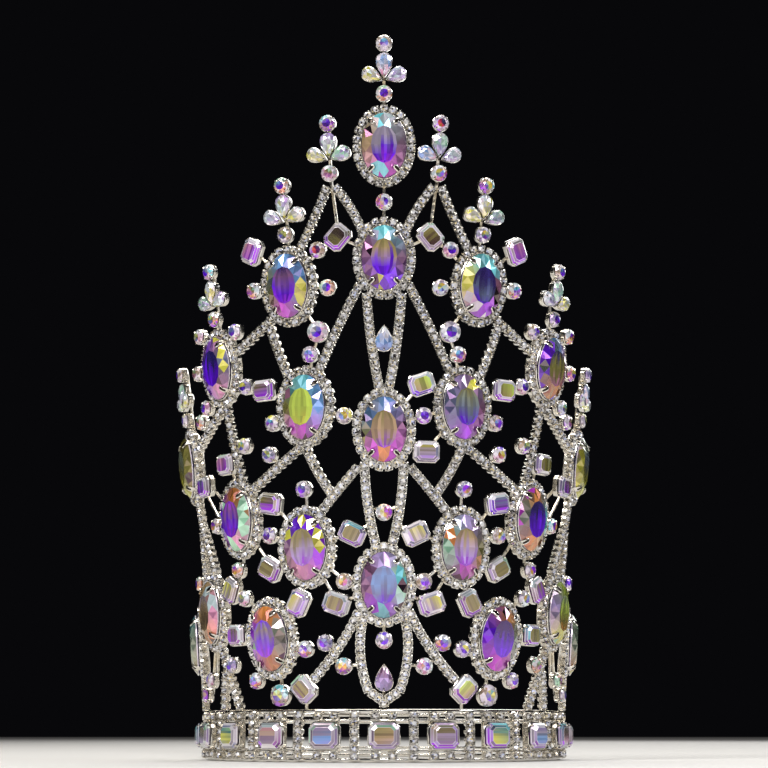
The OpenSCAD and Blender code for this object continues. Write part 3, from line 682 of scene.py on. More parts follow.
# %% Cups along the chains
def chain_seats(start, end, bow, placed):
    """Cups of one chain: its curve is cut back at both ends, and the rest is divided by the pitch. Where
    there is room for one cup alone, it sits in the middle."""
    curve = chain_curve(start, end, bow)
    head, tail = CHAIN_PITCH * end_share(start, START_SHARES), CHAIN_PITCH * end_share(end, END_SHARES)
    fine = points_at(curve, np.linspace(head, run_of(curve)[-1] - tail, 4 * CURVE_STEPS + 1))
    cut = clear_stretch(fine, placed)
    length = run_of(cut)[-1]
    count = min(round(length / CHAIN_PITCH), int(length / NEAREST_CUP)) + 1
    if count == 1:
        return cut[len(cut) // 2:][:1], along_axes(cut[[0, -1]])[:1]
    points = even_points(cut, count, False)
    return points, along_axes(points)


# One upright cup closes the low point of the middle chains, a little below the place where they meet
TIP_DROP = 0.6
tip_z = CHEVRON_TIP[1] * CROWN_H - TIP_DROP
tip_cup, tip_axes = wall_point(0, tip_z)[None], turned(wall_axes(0, tip_z), 90)[None]
placed, right_axes = [halo_origins, tip_cup], []
for row in CHAINS:
    points, axes = chain_seats(*row, np.concatenate(placed))
    placed.append(points)
    right_axes.append(axes)
right_axes = np.concatenate(right_axes)
left_axes = right_axes * FLIP * np.array([1, -1, 1])[:, None]
strand_origins = np.concatenate([mirrored(np.concatenate(placed[2:])), tip_cup])
strand_axes = np.concatenate([right_axes, left_axes, tip_axes])
print(len(strand_origins), "cups in the chains")


# %% The chains, cups and stones
rng = np.random.default_rng(7)
# A clear stone has no colour of its own, so each facet is painted as a glint or a reflection: white, cream,
# grey, gold, pale blue or near black
CLEAR_REFLECTION_COLOURS = "F4F3F5 F4EEEA CDC9C8 7B7573 F0DCA8 CCD4F6 1E1A1A"
CLEAR_REFLECTION_TINTS = np.array([linear(code) for code in CLEAR_REFLECTION_COLOURS.split()])
CLEAR_SHARES = [0.32, 0.14, 0.12, 0.13, 0.07, 0.09, 0.13]
STONE_SPIN = 12


def facet_tints(form, count, colours, shares):
    """A colour for each facet, drawn by its share and repeated for the facet's corners."""
    tints = []
    for block in form[1]:
        drawn = rng.choice(len(colours), len(block) * count, p=shares)
        tints.append(np.repeat(colours[drawn][:, None], block.shape[1], 1))
    return tints


def chain_pieces(name, cup, stone, origins, axes, replaces=()):
    """The cups of a stretch of chain as one piece, and their stones as another. Each stone is turned by an
    angle of its own in its cup, as no two are set alike."""
    metal_piece(name + "_cups", copies(cup, origins, axes), CUP_METAL, 35, replaces)
    tints = facet_tints(stone, len(origins), CLEAR_REFLECTION_TINTS, CLEAR_SHARES)
    spun = turned(axes, rng.uniform(-STONE_SPIN, STONE_SPIN, len(axes)))
    make_piece(name + "_stones", copies(stone, origins, spun), CLEAR_CRYSTAL, tints=tints)


chain_pieces("border", HALO_CUP, CHAIN_STONE, halo_origins, halo_axes, ["front_lattice"])
chain_pieces("strand", STRAND_CUP, STRAND_STONE, strand_origins, strand_axes)

# %% [markdown]
# ## Cut stones
# The large stones are oval brilliants: a flat table, star facets round it, kites, and two facets to each
# kite down to the girdle. The facets are drawn between rings of one outline, and the girdle's rings have
# twice as many points as the table's. The eight-sided stones are step cut: rings of one octagon that shrink
# in steps. The rings sit at the same depths as those of the solids that the stones replace. Planes could
# cut a block too, as a cutter does, but here the number of each facet is known, so each can be coloured.

# %% Outlines
def oval_outline(w, h):
    """Ellipse: half width times cosine, half height times sine."""
    return lambda t: np.stack([w / 2 * np.cos(t), h / 2 * np.sin(t)], -1)


def pear_outline(w, h):
    """Drop with its point up: half height times cosine, and sine times the half angle's sine, which comes
    to 0.77 at its widest and is scaled to w."""
    return lambda t: np.stack([-w / 1.54 * np.sin(t) * np.abs(np.sin(t / 2)), h / 2 * np.cos(t)], -1)


CORNER = 0.2


def octagon_outline(l, w):
    """Rectangle l by w with its corners cut by a share of w, from the right side round counter-clockwise."""
    a, b, c = l / 2, w / 2, CORNER * w
    return np.array([(a, -b + c), (a, b - c), (a - c, b), (-a + c, b), (-a, b - c), (-a, -b + c),
                     (-a + c, -b), (a - c, -b)])


print("an octagon 10 by 8 mm has its corners cut by", CORNER * 8, "mm")

# %% A brilliant
GIRDLE_SHARE = 0.08


def brilliant(outline, count, depth, table, middle, girdle, base):
    """Brilliant on an outline, count kites round. Each ring is a share of the outline at a share of the
    depth, and the middle ring is half a step on. Blocks: table, stars, kites, girdle facets, girdle edge,
    pavilion, back."""
    edge = outline(round_angles(2 * count))
    rings = [ring_at(edge[::2], table, depth + GAP),
             ring_at(edge[1::2], middle[0], depth * middle[1] + GAP),
             ring_at(edge, 1, depth * girdle + GAP),
             ring_at(edge, 1, depth * (girdle - GIRDLE_SHARE) + GAP),
             ring_at(edge[::2], base, GAP)]
    n = count
    i = np.arange(n)
    j = (i + 1) % n
    # First points of the middle ring, the girdle's upper and lower ring, and the base
    b, g, u, p = n, 2 * n, 4 * n, 6 * n
    stars = np.stack([i, b + i, j], -1)
    kites = np.stack([i, b + (i - 1) % n, g + 2 * i, b + i], -1)
    uppers = np.concatenate([np.stack([b + i, g + 2 * i, g + 2 * i + 1], -1),
                             np.stack([b + i, g + 2 * i + 1, g + 2 * j], -1)])
    k = np.arange(2 * n)
    k1 = (k + 1) % (2 * n)
    edge_band = np.stack([g + k, u + k, u + k1, g + k1], -1)
    pavilion = np.concatenate([np.stack([u + 2 * i, p + i, u + 2 * i + 1], -1),
                               np.stack([u + 2 * i + 1, p + i, p + j], -1),
                               np.stack([u + 2 * i + 1, p + j, u + 2 * j], -1)])
    return np.concatenate(rings), [i[None], stars, kites, uppers, edge_band, pavilion, p + i[None, ::-1]]


OVAL_T = 6.0
OVAL_CUT = dict(depth=OVAL_T, table=0.58, middle=(0.84, 0.84), girdle=0.58, base=0.34)
oval_stone = brilliant(oval_outline(2 * OVAL_A, 2 * OVAL_B), 12, **OVAL_CUT)
print("a large stone has", sum(map(len, oval_stone[1])), "facets")


# %% Facets seen through the table
def fanned(form):
    """The form with its table cut in triangles from the middle, as the back's facets show through it."""
    points, blocks = form
    ring = blocks[0][0]
    centre = np.full(len(ring), len(points))
    fan = np.stack([centre, ring, np.roll(ring, -1)], -1)
    return np.concatenate([points, points[ring].mean(0, keepdims=True)]), [fan, *blocks[1:]]


def table_strips(form, strips):
    """The flat table of a brilliant cut in strips shaped like lenses, side by side: each row of the table
    runs from rim to rim at equal shares. The strips show the long facets of the back through the table."""
    points, blocks = form
    ring = points[blocks[0][0]]
    n = len(ring)
    order = np.argsort(-ring[:, 1], kind="stable")
    tip, foot = ring[order[0]], ring[order[-1]]
    rows = ring[order[1:-1]].reshape(-1, 2, 3)
    rows = np.take_along_axis(rows, np.argsort(rows[:, :, 0], axis=1)[:, :, None], 1)
    share = np.linspace(0, 1, strips + 1)[:, None]
    grid = rows[:, None, 0] * (1 - share) + rows[:, None, 1] * share
    m, c = grid.shape[0], strips + 1
    cells = np.arange(m * c).reshape(m, c)
    quads = np.stack([cells[:-1, :-1], cells[1:, :-1], cells[1:, 1:], cells[:-1, 1:]], -1).reshape(-1, 4)
    top = np.stack([np.full(strips, m * c), cells[0, :-1], cells[0, 1:]], -1)
    low = np.stack([cells[-1, :-1], np.full(strips, m * c + 1), cells[-1, 1:]], -1)
    return np.concatenate([grid.reshape(-1, 3), [tip, foot]]), [quads, top, low]


TABLE_STRIPS = 8
oval_table, oval_rim = table_strips(oval_stone, TABLE_STRIPS), (oval_stone[0], oval_stone[1][1:])
print("its table is cut in", sum(map(len, oval_table[1])), "pieces")

# %% Round and pear-shaped stones
ROUND_D, BIG_ROUND_D, ROUND_T = 6.0, 8.0, 3.6
SIDE_PEAR_L, SIDE_PEAR_W, TOP_PEAR_L, TOP_PEAR_W = 8.0, 5.4, 9.4, 6.0
DROP_L, DROP_W = 10.0, 6.6
SMALL_CUT = dict(depth=ROUND_T, table=0.55, middle=(0.8, 0.87), girdle=0.64, base=0.3)


def small_stone(outline, w, l, over=0.5):
    """Small brilliant, a little over the size of its cup, so that it hides the rim."""
    return fanned(brilliant(outline(w + over, l + over), 8, **SMALL_CUT))


round_stone = small_stone(oval_outline, ROUND_D, ROUND_D)
big_round_stone = small_stone(oval_outline, BIG_ROUND_D, BIG_ROUND_D)
side_pear_stone = small_stone(pear_outline, SIDE_PEAR_W, SIDE_PEAR_L)
top_pear_stone = small_stone(pear_outline, TOP_PEAR_W, TOP_PEAR_L)
drop_stone = small_stone(pear_outline, DROP_W, DROP_L, over=0.4)
print("a small round or drop has", sum(map(len, round_stone[1])), "facets")

# %% Step cut stones
OCT_L, OCT_W, OCT_T = 10.0, 8.0, 4.0
BAND_STONE_L, BAND_STONE_W = 12.0, 10.0
STEP_STRIPS, STEP_OVER = 4, 0.4
STEP_SHARES = [(0.3, 0), (1, 0.53), (1, 0.6), (0.97, 0.66), (0.84, 0.82), (0.81, 0.85), (0.66, 0.98),
               (0.63, 1)]


def step_cut(l, w, along=False):
    """Step cut stone: octagons at shares of the outline and of the depth, up to the table, which is cut in
    strips across it, or along it. A narrow facet rounds each edge between two steps. Blocks: steps, edges,
    back, strips and ends of the table."""
    outline = np.roll(octagon_outline(l, w), -2 if along else 0, 0)
    rings = np.stack([ring_at(outline, size, OCT_T * z + GAP) for size, z in STEP_SHARES])
    points, blocks = loft(rings)
    top = rings[-1]
    share = np.linspace(0, 1, STEP_STRIPS + 1)[:, None]
    upper, lower = top[3] * (1 - share) + top[2] * share, top[6] * (1 - share) + top[7] * share
    high, low = len(points) + np.arange(2 * (STEP_STRIPS + 1)).reshape(2, -1)
    strips = np.stack([low[:-1], low[1:], high[1:], high[:-1]], -1)
    last, count = len(points) - 8, len(STEP_SHARES) - 1
    ends = np.array([[high[-1], low[-1], last, last + 1], [low[0], high[0], last + 4, last + 5]])
    rows = blocks[0].reshape(count, 8, 4)
    steps, edges = rows[[0, 1, 3, 5]].reshape(-1, 4), rows[[2, 4, 6]].reshape(-1, 4)
    return np.concatenate([points, upper, lower]), [steps, edges, blocks[1], strips, ends]


octagon_stone = step_cut(OCT_L + STEP_OVER, OCT_W + STEP_OVER)
octagon_long_stone = step_cut(OCT_L + STEP_OVER, OCT_W + STEP_OVER, along=True)
band_stone = step_cut(BAND_STONE_L, BAND_STONE_W, along=True)
print("a step cut stone has", sum(map(len, octagon_stone[1])), "facets")

# %% [markdown]
# ### Colours of the rainbow coating
# The coating turns white light into a run of colours that differs for every angle of view, so two stones cut
# alike never look alike. The large stones have their colours written down by name, from the top down and at
# the sides. The small ones draw a short run of colours each. The film in the material shifts with the view
# by itself, but it can't give the colours of these very stones.

# %% Names of the colours
COLOUR_CODES = {
    "cyan": "7FE6F0", "ice": "DDF2F6", "olive": "8C8748", "tan": "B59C72", "lilac": "B9A6DC",
    "greylilac": "A69DB0", "violet": "6C1CF4", "purple": "A83CF0", "navy": "2F2B74", "magenta": "C63FD0",
    "rose": "D08CB0", "mauve": "8E6488", "yellow": "EAE65A", "red": "D8405A", "lime": "C9E25A",
    "orange": "E8954A", "mint": "A8E3BE", "teal": "3E8C98", "sky": "7AB0EE", "slate": "6F7F9F",
    "brown": "5A4436", "pearl": "EDE8F0", "greygreen": "8D9B88", "dark": "1C1822"}
COLOURS = {name: linear(code) for name, code in COLOUR_CODES.items()}


def colour_rows(names):
    """Rows of linear colours for rows of names."""
    return np.array([[COLOURS[name] for name in row.split()] for row in names])


print(len(COLOURS), "named colours:", " ".join(COLOURS))


# %% Runs of colours
def run_colours(run, at):
    """Colours along a run, one run for each first index: at goes from 0 to 1 and is mixed between the two
    nearest stops."""
    spot = np.clip(at, 0, 1) * (run.shape[1] - 1)
    first = np.minimum(spot.astype(int), run.shape[1] - 2)
    mix = (spot - first)[..., None]
    index = np.arange(len(run)).reshape(-1, *[1] * (at.ndim - 1))
    return run[index, first] * (1 - mix) + run[index, first + 1] * mix


def run_tints(form, run, directions, jitter, light, soft=0.35):
    """Tints of copies of a form: each copy's run of colours is laid along its direction, each facet slips
    along it by jitter, and its lightness is drawn between the two values of light. A facet keeps the share
    soft of the change of colour across itself."""
    points, blocks = form
    used = np.concatenate([block.ravel() for block in blocks])
    flat = points[:, :2] / np.abs(points[used, :2]).max()
    tints = []
    for block in blocks:
        along = np.einsum("fcj,nj->nfc", flat[block], directions)
        middle = along.mean(2, keepdims=True)
        along = middle + soft * (along - middle)
        slip = rng.normal(0, jitter, (len(run), len(block), 1))
        shade = rng.uniform(*light, (len(run), len(block), 1, 1))
        tints.append((run_colours(run, 0.5 - 0.5 * along + slip) * shade).reshape(-1, block.shape[1], 3))
    return tints


half_way = run_colours(colour_rows(["yellow violet"]), np.array([0.5]))
print("half way from yellow to violet:", half_way.round(2))

# %% Colours of the large stones: four down the table, the rim's top, bottom, left and right, and a spark
OVAL_STONES = {
    "oval_1_centre": (
        "1c", 1, "violet", "greylilac greylilac violet purple", "ice magenta tan mauve", "cyan"),
    "oval_2_centre": ("2c", 1, "violet", "olive tan violet violet", "cyan violet mauve mauve", "yellow"),
    "oval_2_left": ("2r", -1, "blue", "navy mauve violet purple", "sky magenta olive sky", "yellow"),
    "oval_2_right": ("2r", 1, "blue", "navy navy slate violet", "cyan purple yellow rose", "pearl"),
    "oval_3_centre": ("3c", 1, "orchid", "olive tan tan purple", "sky magenta olive mauve", "orange"),
    "oval_3_left_inner": ("3r", -1, "lime", "lime lime lime yellow", "cyan magenta olive sky", "rose"),
    "oval_3_right_inner": (
        "3r", 1, "violet", "olive greygreen slate violet", "lilac purple slate rose", "yellow"),
    "oval_3_left_outer": ("3o", -1, "blue", "navy navy violet violet", "mauve rose violet slate", "yellow"),
    "oval_3_right_outer": ("3o", 1, "blue", "navy olive olive rose", "sky orange greygreen rose", "violet"),
    "oval_4_centre": ("4c", 1, "blue", "slate sky slate violet", "lilac purple mauve mint", "cyan"),
    "oval_4_left_inner": (
        "4r", -1, "violet", "olive olive lilac purple", "violet rose mauve purple", "yellow"),
    "oval_4_right_inner": (
        "4r", 1, "violet", "olive tan lilac purple", "lilac magenta mint olive", "orange"),
    "oval_4_left_middle": (
        "4m", -1, "blue", "purple mauve violet purple", "orange rose violet greygreen", "mint"),
    "oval_4_right_middle": (
        "4m", 1, "blue", "navy navy violet violet", "orange orange greygreen cyan", "magenta"),
    "oval_4_left_outer": (
        "4o", -1, "olive", "greygreen greygreen olive yellow", "olive yellow greygreen olive", "mint"),
    "oval_4_right_outer": (
        "4o", 1, "olive", "greygreen slate olive yellow", "greygreen yellow olive mint", "yellow"),
    "oval_5_left_inner": (
        "5r", -1, "orchid", "violet olive violet purple", "orange orange purple greygreen", "mint"),
    "oval_5_right_inner": (
        "5r", 1, "blue", "navy navy violet violet", "orange magenta violet greygreen", "cyan"),
    "oval_5_left_middle": ("5m", -1, "rose", "greylilac tan brown tan", "tan orange tan rose", "ice"),
    "oval_5_right_middle": (
        "5m", 1, "olive", "greygreen lime olive orange", "lime yellow lilac olive", "mint"),
    "oval_5_left_outer": ("5o", -1, "rose", "slate greygreen tan tan", "teal tan yellow greygreen", "mint"),
    "oval_5_right_outer": (
        "5o", 1, "olive", "greygreen teal olive tan", "mint orange greygreen teal", "yellow"),
}
print("written down for", len(OVAL_STONES), "large stones")

# %% How the table of a large stone takes its colours
def table_tints(names):
    """Tints of a large stone's table: it runs from its top colour to its low one, by a facet's height and
    mostly by each corner's own, and each strip slips and darkens by itself."""
    run, tints = colour_rows([names]), []
    for block in oval_table[1]:
        height = oval_table[0][block][:, :, 1] / OVAL_B
        strip = np.arange(len(block)) % TABLE_STRIPS
        low = np.clip(0.5 - height.mean(1), 0, 1)
        slip = rng.normal(0, 0.1, TABLE_STRIPS)[strip] + rng.normal(0, 0.06, len(block)) * low
        shade = rng.uniform(0.6, 1.25, TABLE_STRIPS)[strip] * rng.uniform(1 - 0.3 * low, 1.1)
        along = 0.5 - 0.85 * (0.12 * height.mean(1, keepdims=True) + 0.88 * height) + slip[:, None]
        tints.append(run_colours(run, along[None])[0] * shade[:, None, None])
    return tints


print("a table has", TABLE_STRIPS, "strips, each with its own slip and lightness")

# %% How the rest of a large stone takes its colours
# A spark is a painted glint in a colour of its own, and a dark facet is a painted reflection of the dark
# room
RIM_SECTORS, SPARK_BELOW, DARK_ABOVE = 9, 0.2, 0.9


def rim_tints(names, spark):
    """Tints of the rest. A facet mixes the rim's four colours by its direction from the middle, half its own
    and half each corner's: the square of the sine or cosine is a colour's weight. Its sector of the rim sets
    most of its lightness, and whether it is one of the few sparks or dark facets."""
    tints = []
    sector_turn = rng.normal(0, 0.25, RIM_SECTORS)
    sector_draw = rng.uniform(size=RIM_SECTORS)
    sector_shade = rng.uniform(0.45, 1.2, RIM_SECTORS)
    for block in oval_rim[1]:
        corners = oval_rim[0][block][:, :, :2] / [OVAL_A, OVAL_B]
        middle = corners.mean(1)
        angle = np.arctan2(middle[:, 1], middle[:, 0])
        round_share = angle / (2 * np.pi) + 1 + rng.normal(0, 0.02, len(block))
        sector = np.floor(round_share * RIM_SECTORS).astype(int) % RIM_SECTORS
        mixed = 0.5 * middle[:, None] + 0.5 * corners
        turn = np.arctan2(mixed[..., 1], mixed[..., 0]) + sector_turn[sector][:, None]
        towards = np.stack([np.sin(turn), -np.sin(turn), -np.cos(turn), np.cos(turn)], -1)
        weights = np.clip(towards, 0, 1) ** 2
        weights /= weights.sum(2, keepdims=True)
        colour = weights @ colour_rows([names])[0]
        drawn = 0.75 * sector_draw[sector] + 0.25 * rng.uniform(size=len(block))
        colour = np.where((drawn < SPARK_BELOW)[:, None, None], COLOURS[spark], colour)
        colour = np.where((drawn > DARK_ABOVE)[:, None, None], COLOURS["dark"], colour)
        shade = (sector_shade[sector] * rng.uniform(0.7, 1.15, len(block)))[:, None]
        shade = shade * rng.uniform(0.75, 1.2, (len(block), block.shape[1]))
        tints.append(colour * shade[..., None])
    return tints


print(RIM_SECTORS, "sectors; a draw below", SPARK_BELOW, "makes a spark, one above", DARK_ABOVE, "is dark")

# %% The large stones
BACK_TINT = COLOURS["violet"] * 0.4
for name, (key, side, slot, table_names, rim_names, spark) in OVAL_STONES.items():
    az, share, turn = OVALS[key]
    tints = table_tints(table_names) + rim_tints(rim_names, spark)
    # The last three blocks are the girdle's edge, painted pearl as a thin painted highlight, the pavilion
    # and the back
    tints[-3:] = [np.broadcast_to(colour, tint.shape)
                  for colour, tint in zip((COLOURS["pearl"], BACK_TINT, BACK_TINT), tints[-3:])]
    stone = copies(joined(oval_table, oval_rim), *seats([(az * side, share, turn * side)]))
    make_piece(name + "_stone", stone, RAINBOW_CRYSTAL, [name], tints)

# %% [markdown]
# ## The small coloured stones
# Round stones, drops and eight-sided step cuts stand on wires between the large ones. In each, one part has
# caught violet or gold and the rest is pale. A run of four colours across the stone gives that, where one
# colour for the whole stone would look like enamel.

# %% Runs of colours of the small stones
ROUND_RUNS = colour_rows([
    "pearl greylilac pearl purple", "ice pearl rose pearl", "pearl slate lilac pearl",
    "pearl tan pearl purple", "greylilac pearl ice lilac", "pearl ice orange purple",
    "violet pearl pearl rose", "cyan pearl tan purple", "yellow pearl greylilac pearl",
    "pearl tan pearl greylilac", "mint pearl orange pearl"])
SPOT_RUNS = colour_rows([
    "pearl slate violet violet", "greylilac violet navy purple", "pearl yellow orange purple",
    "purple violet orange yellow", "sky slate violet purple", "cyan yellow slate violet",
    "navy violet pearl orange", "mint olive rose purple", "sky lilac violet purple",
    "yellow yellow violet navy", "orange yellow sky purple", "slate navy red orange",
    "cyan sky purple pearl"])
OCTAGON_RUNS = colour_rows([
    "yellow olive purple purple", "slate olive olive lilac", "olive slate purple violet",
    "ice olive slate lilac", "sky olive olive purple", "yellow yellow lilac purple",
    "tan olive brown purple", "lime olive purple violet", "mint lime tan lilac", "olive dark olive lilac",
    "yellow rose purple pearl", "yellow olive lilac purple"])
STEP_RUNS = colour_rows([
    "pearl ice lilac violet", "slate pearl lilac purple", "ice pearl mauve purple",
    "pearl pearl slate lilac", "cyan slate lilac purple", "mint pearl greylilac lilac",
    "pearl olive lilac purple"])
BAND_RUNS = colour_rows([
    "violet greylilac sky magenta", "pearl olive tan lilac", "lilac brown rose sky", "lime teal yellow sky",
    "rose tan lilac yellow", "lilac yellow rose lilac", "pearl olive lilac rose"])
PALE_RUNS = colour_rows([
    "pearl ice lilac pearl", "ice pearl yellow pearl", "pearl mint lilac ice", "pearl sky pearl rose",
    "lilac pearl ice yellow"])
DROP_RUNS = colour_rows(["ice pearl sky slate", "pearl mauve lilac slate"])
# The first block of faces is a round's table, or the steps of a step cut stone
ROUND_LOOK = dict(runs=ROUND_RUNS, spread=0.8, jitter=0.15, first_runs=SPOT_RUNS, first_jitter=0.12)
OCTAGON_LOOK = dict(
    runs=OCTAGON_RUNS, spread=0.3, jitter=0.06, first_runs=STEP_RUNS, first_jitter=0.25, edges=True)
BAND_LOOK = dict(OCTAGON_LOOK, runs=BAND_RUNS, spread=0.5, jitter=0.05)
PEAR_LOOK = dict(runs=PALE_RUNS, spread=0.6, jitter=0.2)
print(len(ROUND_RUNS), "runs for rounds and", len(OCTAGON_RUNS), "for octagons")

# %% How the small stones take their colours
# Painted highlight: the narrow edges between steps are painted near white
EDGE_HIGHLIGHT = linear("FDFBFF")


def world_up(axes, spread):
    """Each stone's own direction of the crown's height, turned by some radians at random, as x and y."""
    angle = np.arctan2(axes[:, 1, 2], axes[:, 0, 2]) + rng.normal(0, spread, len(axes))
    return np.stack([np.cos(angle), np.sin(angle)], -1)


def stone_field(name, parts, slot, replaces, runs, spread, jitter, first_runs=None, first_jitter=0.0,
                edges=False):
    """One piece of many small stones. parts are shapes with their origins and axes. The first block of faces
    takes its colours from first_runs, if there are any. With edges the second block is painted bright all
    over, a painted highlight along the polished edges between two steps."""
    forms, tints = [], []
    for form, origins, axes in parts:
        drawn = runs[rng.integers(0, len(runs), len(origins))]
        up = world_up(axes, spread)
        made = run_tints(form, drawn, up, jitter, (0.55, 1.25))
        if first_runs is not None:
            drawn = first_runs[rng.integers(0, len(first_runs), len(origins))]
            made[0] = run_tints((form[0], form[1][:1]), drawn, up, first_jitter, (0.4, 1.3))[0]
        if edges:
            light = rng.uniform(0.6, 1.1, (len(made[1]), 1, 1))
            made[1] = np.broadcast_to(EDGE_HIGHLIGHT, made[1].shape) * light
        tints += made
        forms.append(copies(form, origins, axes))
    make_piece(name, joined(*forms), RAINBOW_CRYSTAL, replaces, tints)


print("polished edges between steps:", EDGE_HIGHLIGHT.round(2))

# %% Rounds, octagons and drops of the front
round_seats, big_seats, octagon_seats = [], [], []
for field, rows in ROUNDS.items():
    small = [(*row[:2], 0) for row in rows if row[:2] not in BIG_ROUNDS]
    centre = [(0, share, 0) for share in CENTRE_ROUNDS[field]]
    points, axes = seats(np.concatenate([both_sides(small), np.array(centre).reshape(-1, 3)]))
    parts = [(round_stone, points, axes)]
    round_seats.append((points, axes))
    big = [(*row[:2], 0) for row in rows if row[:2] in BIG_ROUNDS]
    if big:
        big_seats.append(seats(both_sides(big)))
        parts.append((big_round_stone, *big_seats[-1]))
    stone_field(field + "_stones", parts, "violet_stone", [field], **ROUND_LOOK)
for field, rows in OCTAGONS.items():
    all_rows = both_sides([row[:3] for row in rows])
    if field == "middle_octagons":
        all_rows = np.concatenate([all_rows, [row[:3] for row in RIGHT_OCTAGONS]])
    octagon_seats.append(seats(all_rows))
    parts = [(form, *(part[k::2] for part in octagon_seats[-1]))
             for k, form in enumerate((octagon_stone, octagon_long_stone))]
    stone_field(field + "_stones", parts, "olive_stone", [field], **OCTAGON_LOOK)
drop_seats = []
for k, (name, share) in enumerate(DROPS.items()):
    drop_seats.append(seats([(0, share, 0)]))
    stone_field(name + "_stone", [(drop_stone, *drop_seats[-1])], "pale_stone", [name],
                runs=DROP_RUNS[k:k + 1], spread=0.1, jitter=0.1)

# %% [markdown]
# ### Finials
# Each tip is a small flower: a round stone below, a drop on each side and one upright, and a round on top.
# The drops point to the hub in the middle. All nine are alike, so each seat is worked out once, from the
# sizes of the stones and cups, and for all nine at the same time.

# %% Seats of the finials
CUP_WALL = 0.6
CUP_ROOM = GAP + CUP_WALL
TIP_ROOM = 1.5 * CUP_ROOM
# The cups keep a little room round the hub, and soldered ones run into each other a little
HUB_ROOM, SOLDER = 0.2, 0.1
LOW_REACH = ROUND_D / 2 + CUP_ROOM + TIP_ROOM + HUB_ROOM
TOP_REACH = TOP_PEAR_L / 2 + TIP_ROOM + HUB_ROOM
CREST_REACH = TOP_REACH + TOP_PEAR_L / 2 + TIP_ROOM - SOLDER + ROUND_D / 2
FINIAL_RISE = LOW_REACH + ROUND_D / 2 + CUP_ROOM - 2 * SOLDER
SIDE_REACH, SIDE_TURN = TIP_ROOM + SIDE_PEAR_L / 2, 66
SECOND_AZ = 12.2
right_finials = [(SECOND_AZ, FINIAL_FOOT[1] * CROWN_H + FINIAL_RISE + CHAIN_W / 2)]
for key in ("2r", "3o", "4o"):
    right_finials.append((OVALS[key][0], OVALS[key][1] * CROWN_H + HALO_B + FINIAL_RISE))
finial_rows = [(0, OVALS["1c"][1] * CROWN_H + HALO_B + FINIAL_RISE)] + right_finials
finial_rows += [(-az, z) for az, z in right_finials]
finial_az, finial_z = np.array(finial_rows, float).T
finial_points, finial_axes = wall_point(finial_az, finial_z), wall_axes(finial_az, finial_z)


def beside(turn, reach, point_in):
    """Seats at a distance from each finial's hub, in a direction turned from its axis; point_in turns the
    piece there to point back at the hub."""
    axes = turned(finial_axes, np.full(len(finial_az), float(turn)))
    return finial_points + reach * axes[:, 1], turned(axes, np.full(len(finial_az), 180.0 * point_in))


low_seats, crest_seats = beside(0, -LOW_REACH, False), beside(0, CREST_REACH, False)
top_seats = beside(0, TOP_REACH, True)
side_seats = [beside(turn, SIDE_REACH, True) for turn in (-SIDE_TURN, SIDE_TURN)]
print(len(finial_rows), "finials, each", round(LOW_REACH + CREST_REACH + ROUND_D, 1), "mm high")

# %% Stones of the finials
rounds = [(round_stone, *low_seats), (round_stone, *crest_seats)]
stone_field("finial_round_stones", rounds, "violet_stone", ["finial_rounds"], **ROUND_LOOK)
pears = [(top_pear_stone, *top_seats)] + [(side_pear_stone, *seat) for seat in side_seats]
stone_field("finial_pear_stones", pears, "clear_stone", ["finial_pears"], **PEAR_LOOK)

# %% [markdown]
# ## The settings
# A large stone sits in a thin pan, and four prongs bend over its edge, each with a strip of painted shade
# down the hollow along its middle. A ring of wire is soldered behind the border of chain. The pan is a loft
# of ellipses: the floor, the wall, the rim and down into the pocket. Spin makes only round pans, and these
# are oval. All the settings are alike, so one is worked out and copied.

# %% Pan and ring of wire
PAN_SIDES, WIRE_R, WIRE_SIDES, RING_Z = 32, 0.65, 6, -1.1
PAN_PROFILE = [(-1.5, -1.0), (0.1, -0.8), (0.4, 0), (0.45, 2.4), (0.2, 2.7), (0.1, 2.4), (0, 0)]


def band_of(outline, profile):
    """Loft of an outline grown by a distance and lifted to a height at each row of the profile."""
    size = np.abs(outline).max(0)
    return loft(np.stack([ring_at(outline, 1 + grow / size, z) for grow, z in profile]))


def ring_wire(a, b, z, around=40):
    """Closed wire on an ellipse: a small circle carried round it. The ellipse's own normal is its cosine and
    sine with the half sizes swapped."""
    t = np.linspace(0, 2 * np.pi, around, endpoint=False)
    path = ring_at(np.stack([a * np.cos(t), b * np.sin(t)], -1), 1, z)
    out = unit_length(np.stack([b * np.cos(t), a * np.sin(t), 0 * t], -1))
    s = round_angles(WIRE_SIDES, 0.5)[:, None]
    grid = path[:, None] + WIRE_R * (np.cos(s) * out[:, None] + np.sin(s) * np.array([0, 0, 1]))
    return grid.reshape(-1, 3), [grid_faces(around, WIRE_SIDES, close_rows=True)[:, ::-1]]


pan = band_of(oval_outline(2 * OVAL_A, 2 * OVAL_B)(round_angles(PAN_SIDES)), PAN_PROFILE)
border_wire = ring_wire(BORDER_A, BORDER_B, RING_Z)
print("a pan has", sum(map(len, pan[1])), "faces and its ring of wire", len(border_wire[1][0]))

# %% Prongs, each a path of distances out, heights and widths, with a section of lifts and shares across
PRONG_CLOCKS = (40, 140, 220, 320)
PRONG_PATH = np.array([(0.55, -0.4, 1.9), (0.55, 2.6, 1.9), (0.45, 3.9, 2.0), (-0.35, 4.95, 2.0),
                       (-1.6, 5.72, 1.8), (-2.3, 5.75, 1.0)])
HOLLOW_PATH = np.array([(0.3, 4.25, 0.7), (-0.35, 4.95, 1.15), (-1.5, 5.67, 1.1), (-2.0, 5.76, 0.5)])
PRONG_SECTION = np.array([(-0.25, -0.5), (0.05, -0.5), (0.27, -0.3), (0.27, 0.3), (0.05, 0.5),
                          (-0.25, 0.5)])
HOLLOW_SECTION = np.array([(0.1, -0.5), (0.33, -0.4), (0.33, 0.4), (0.1, 0.5)])


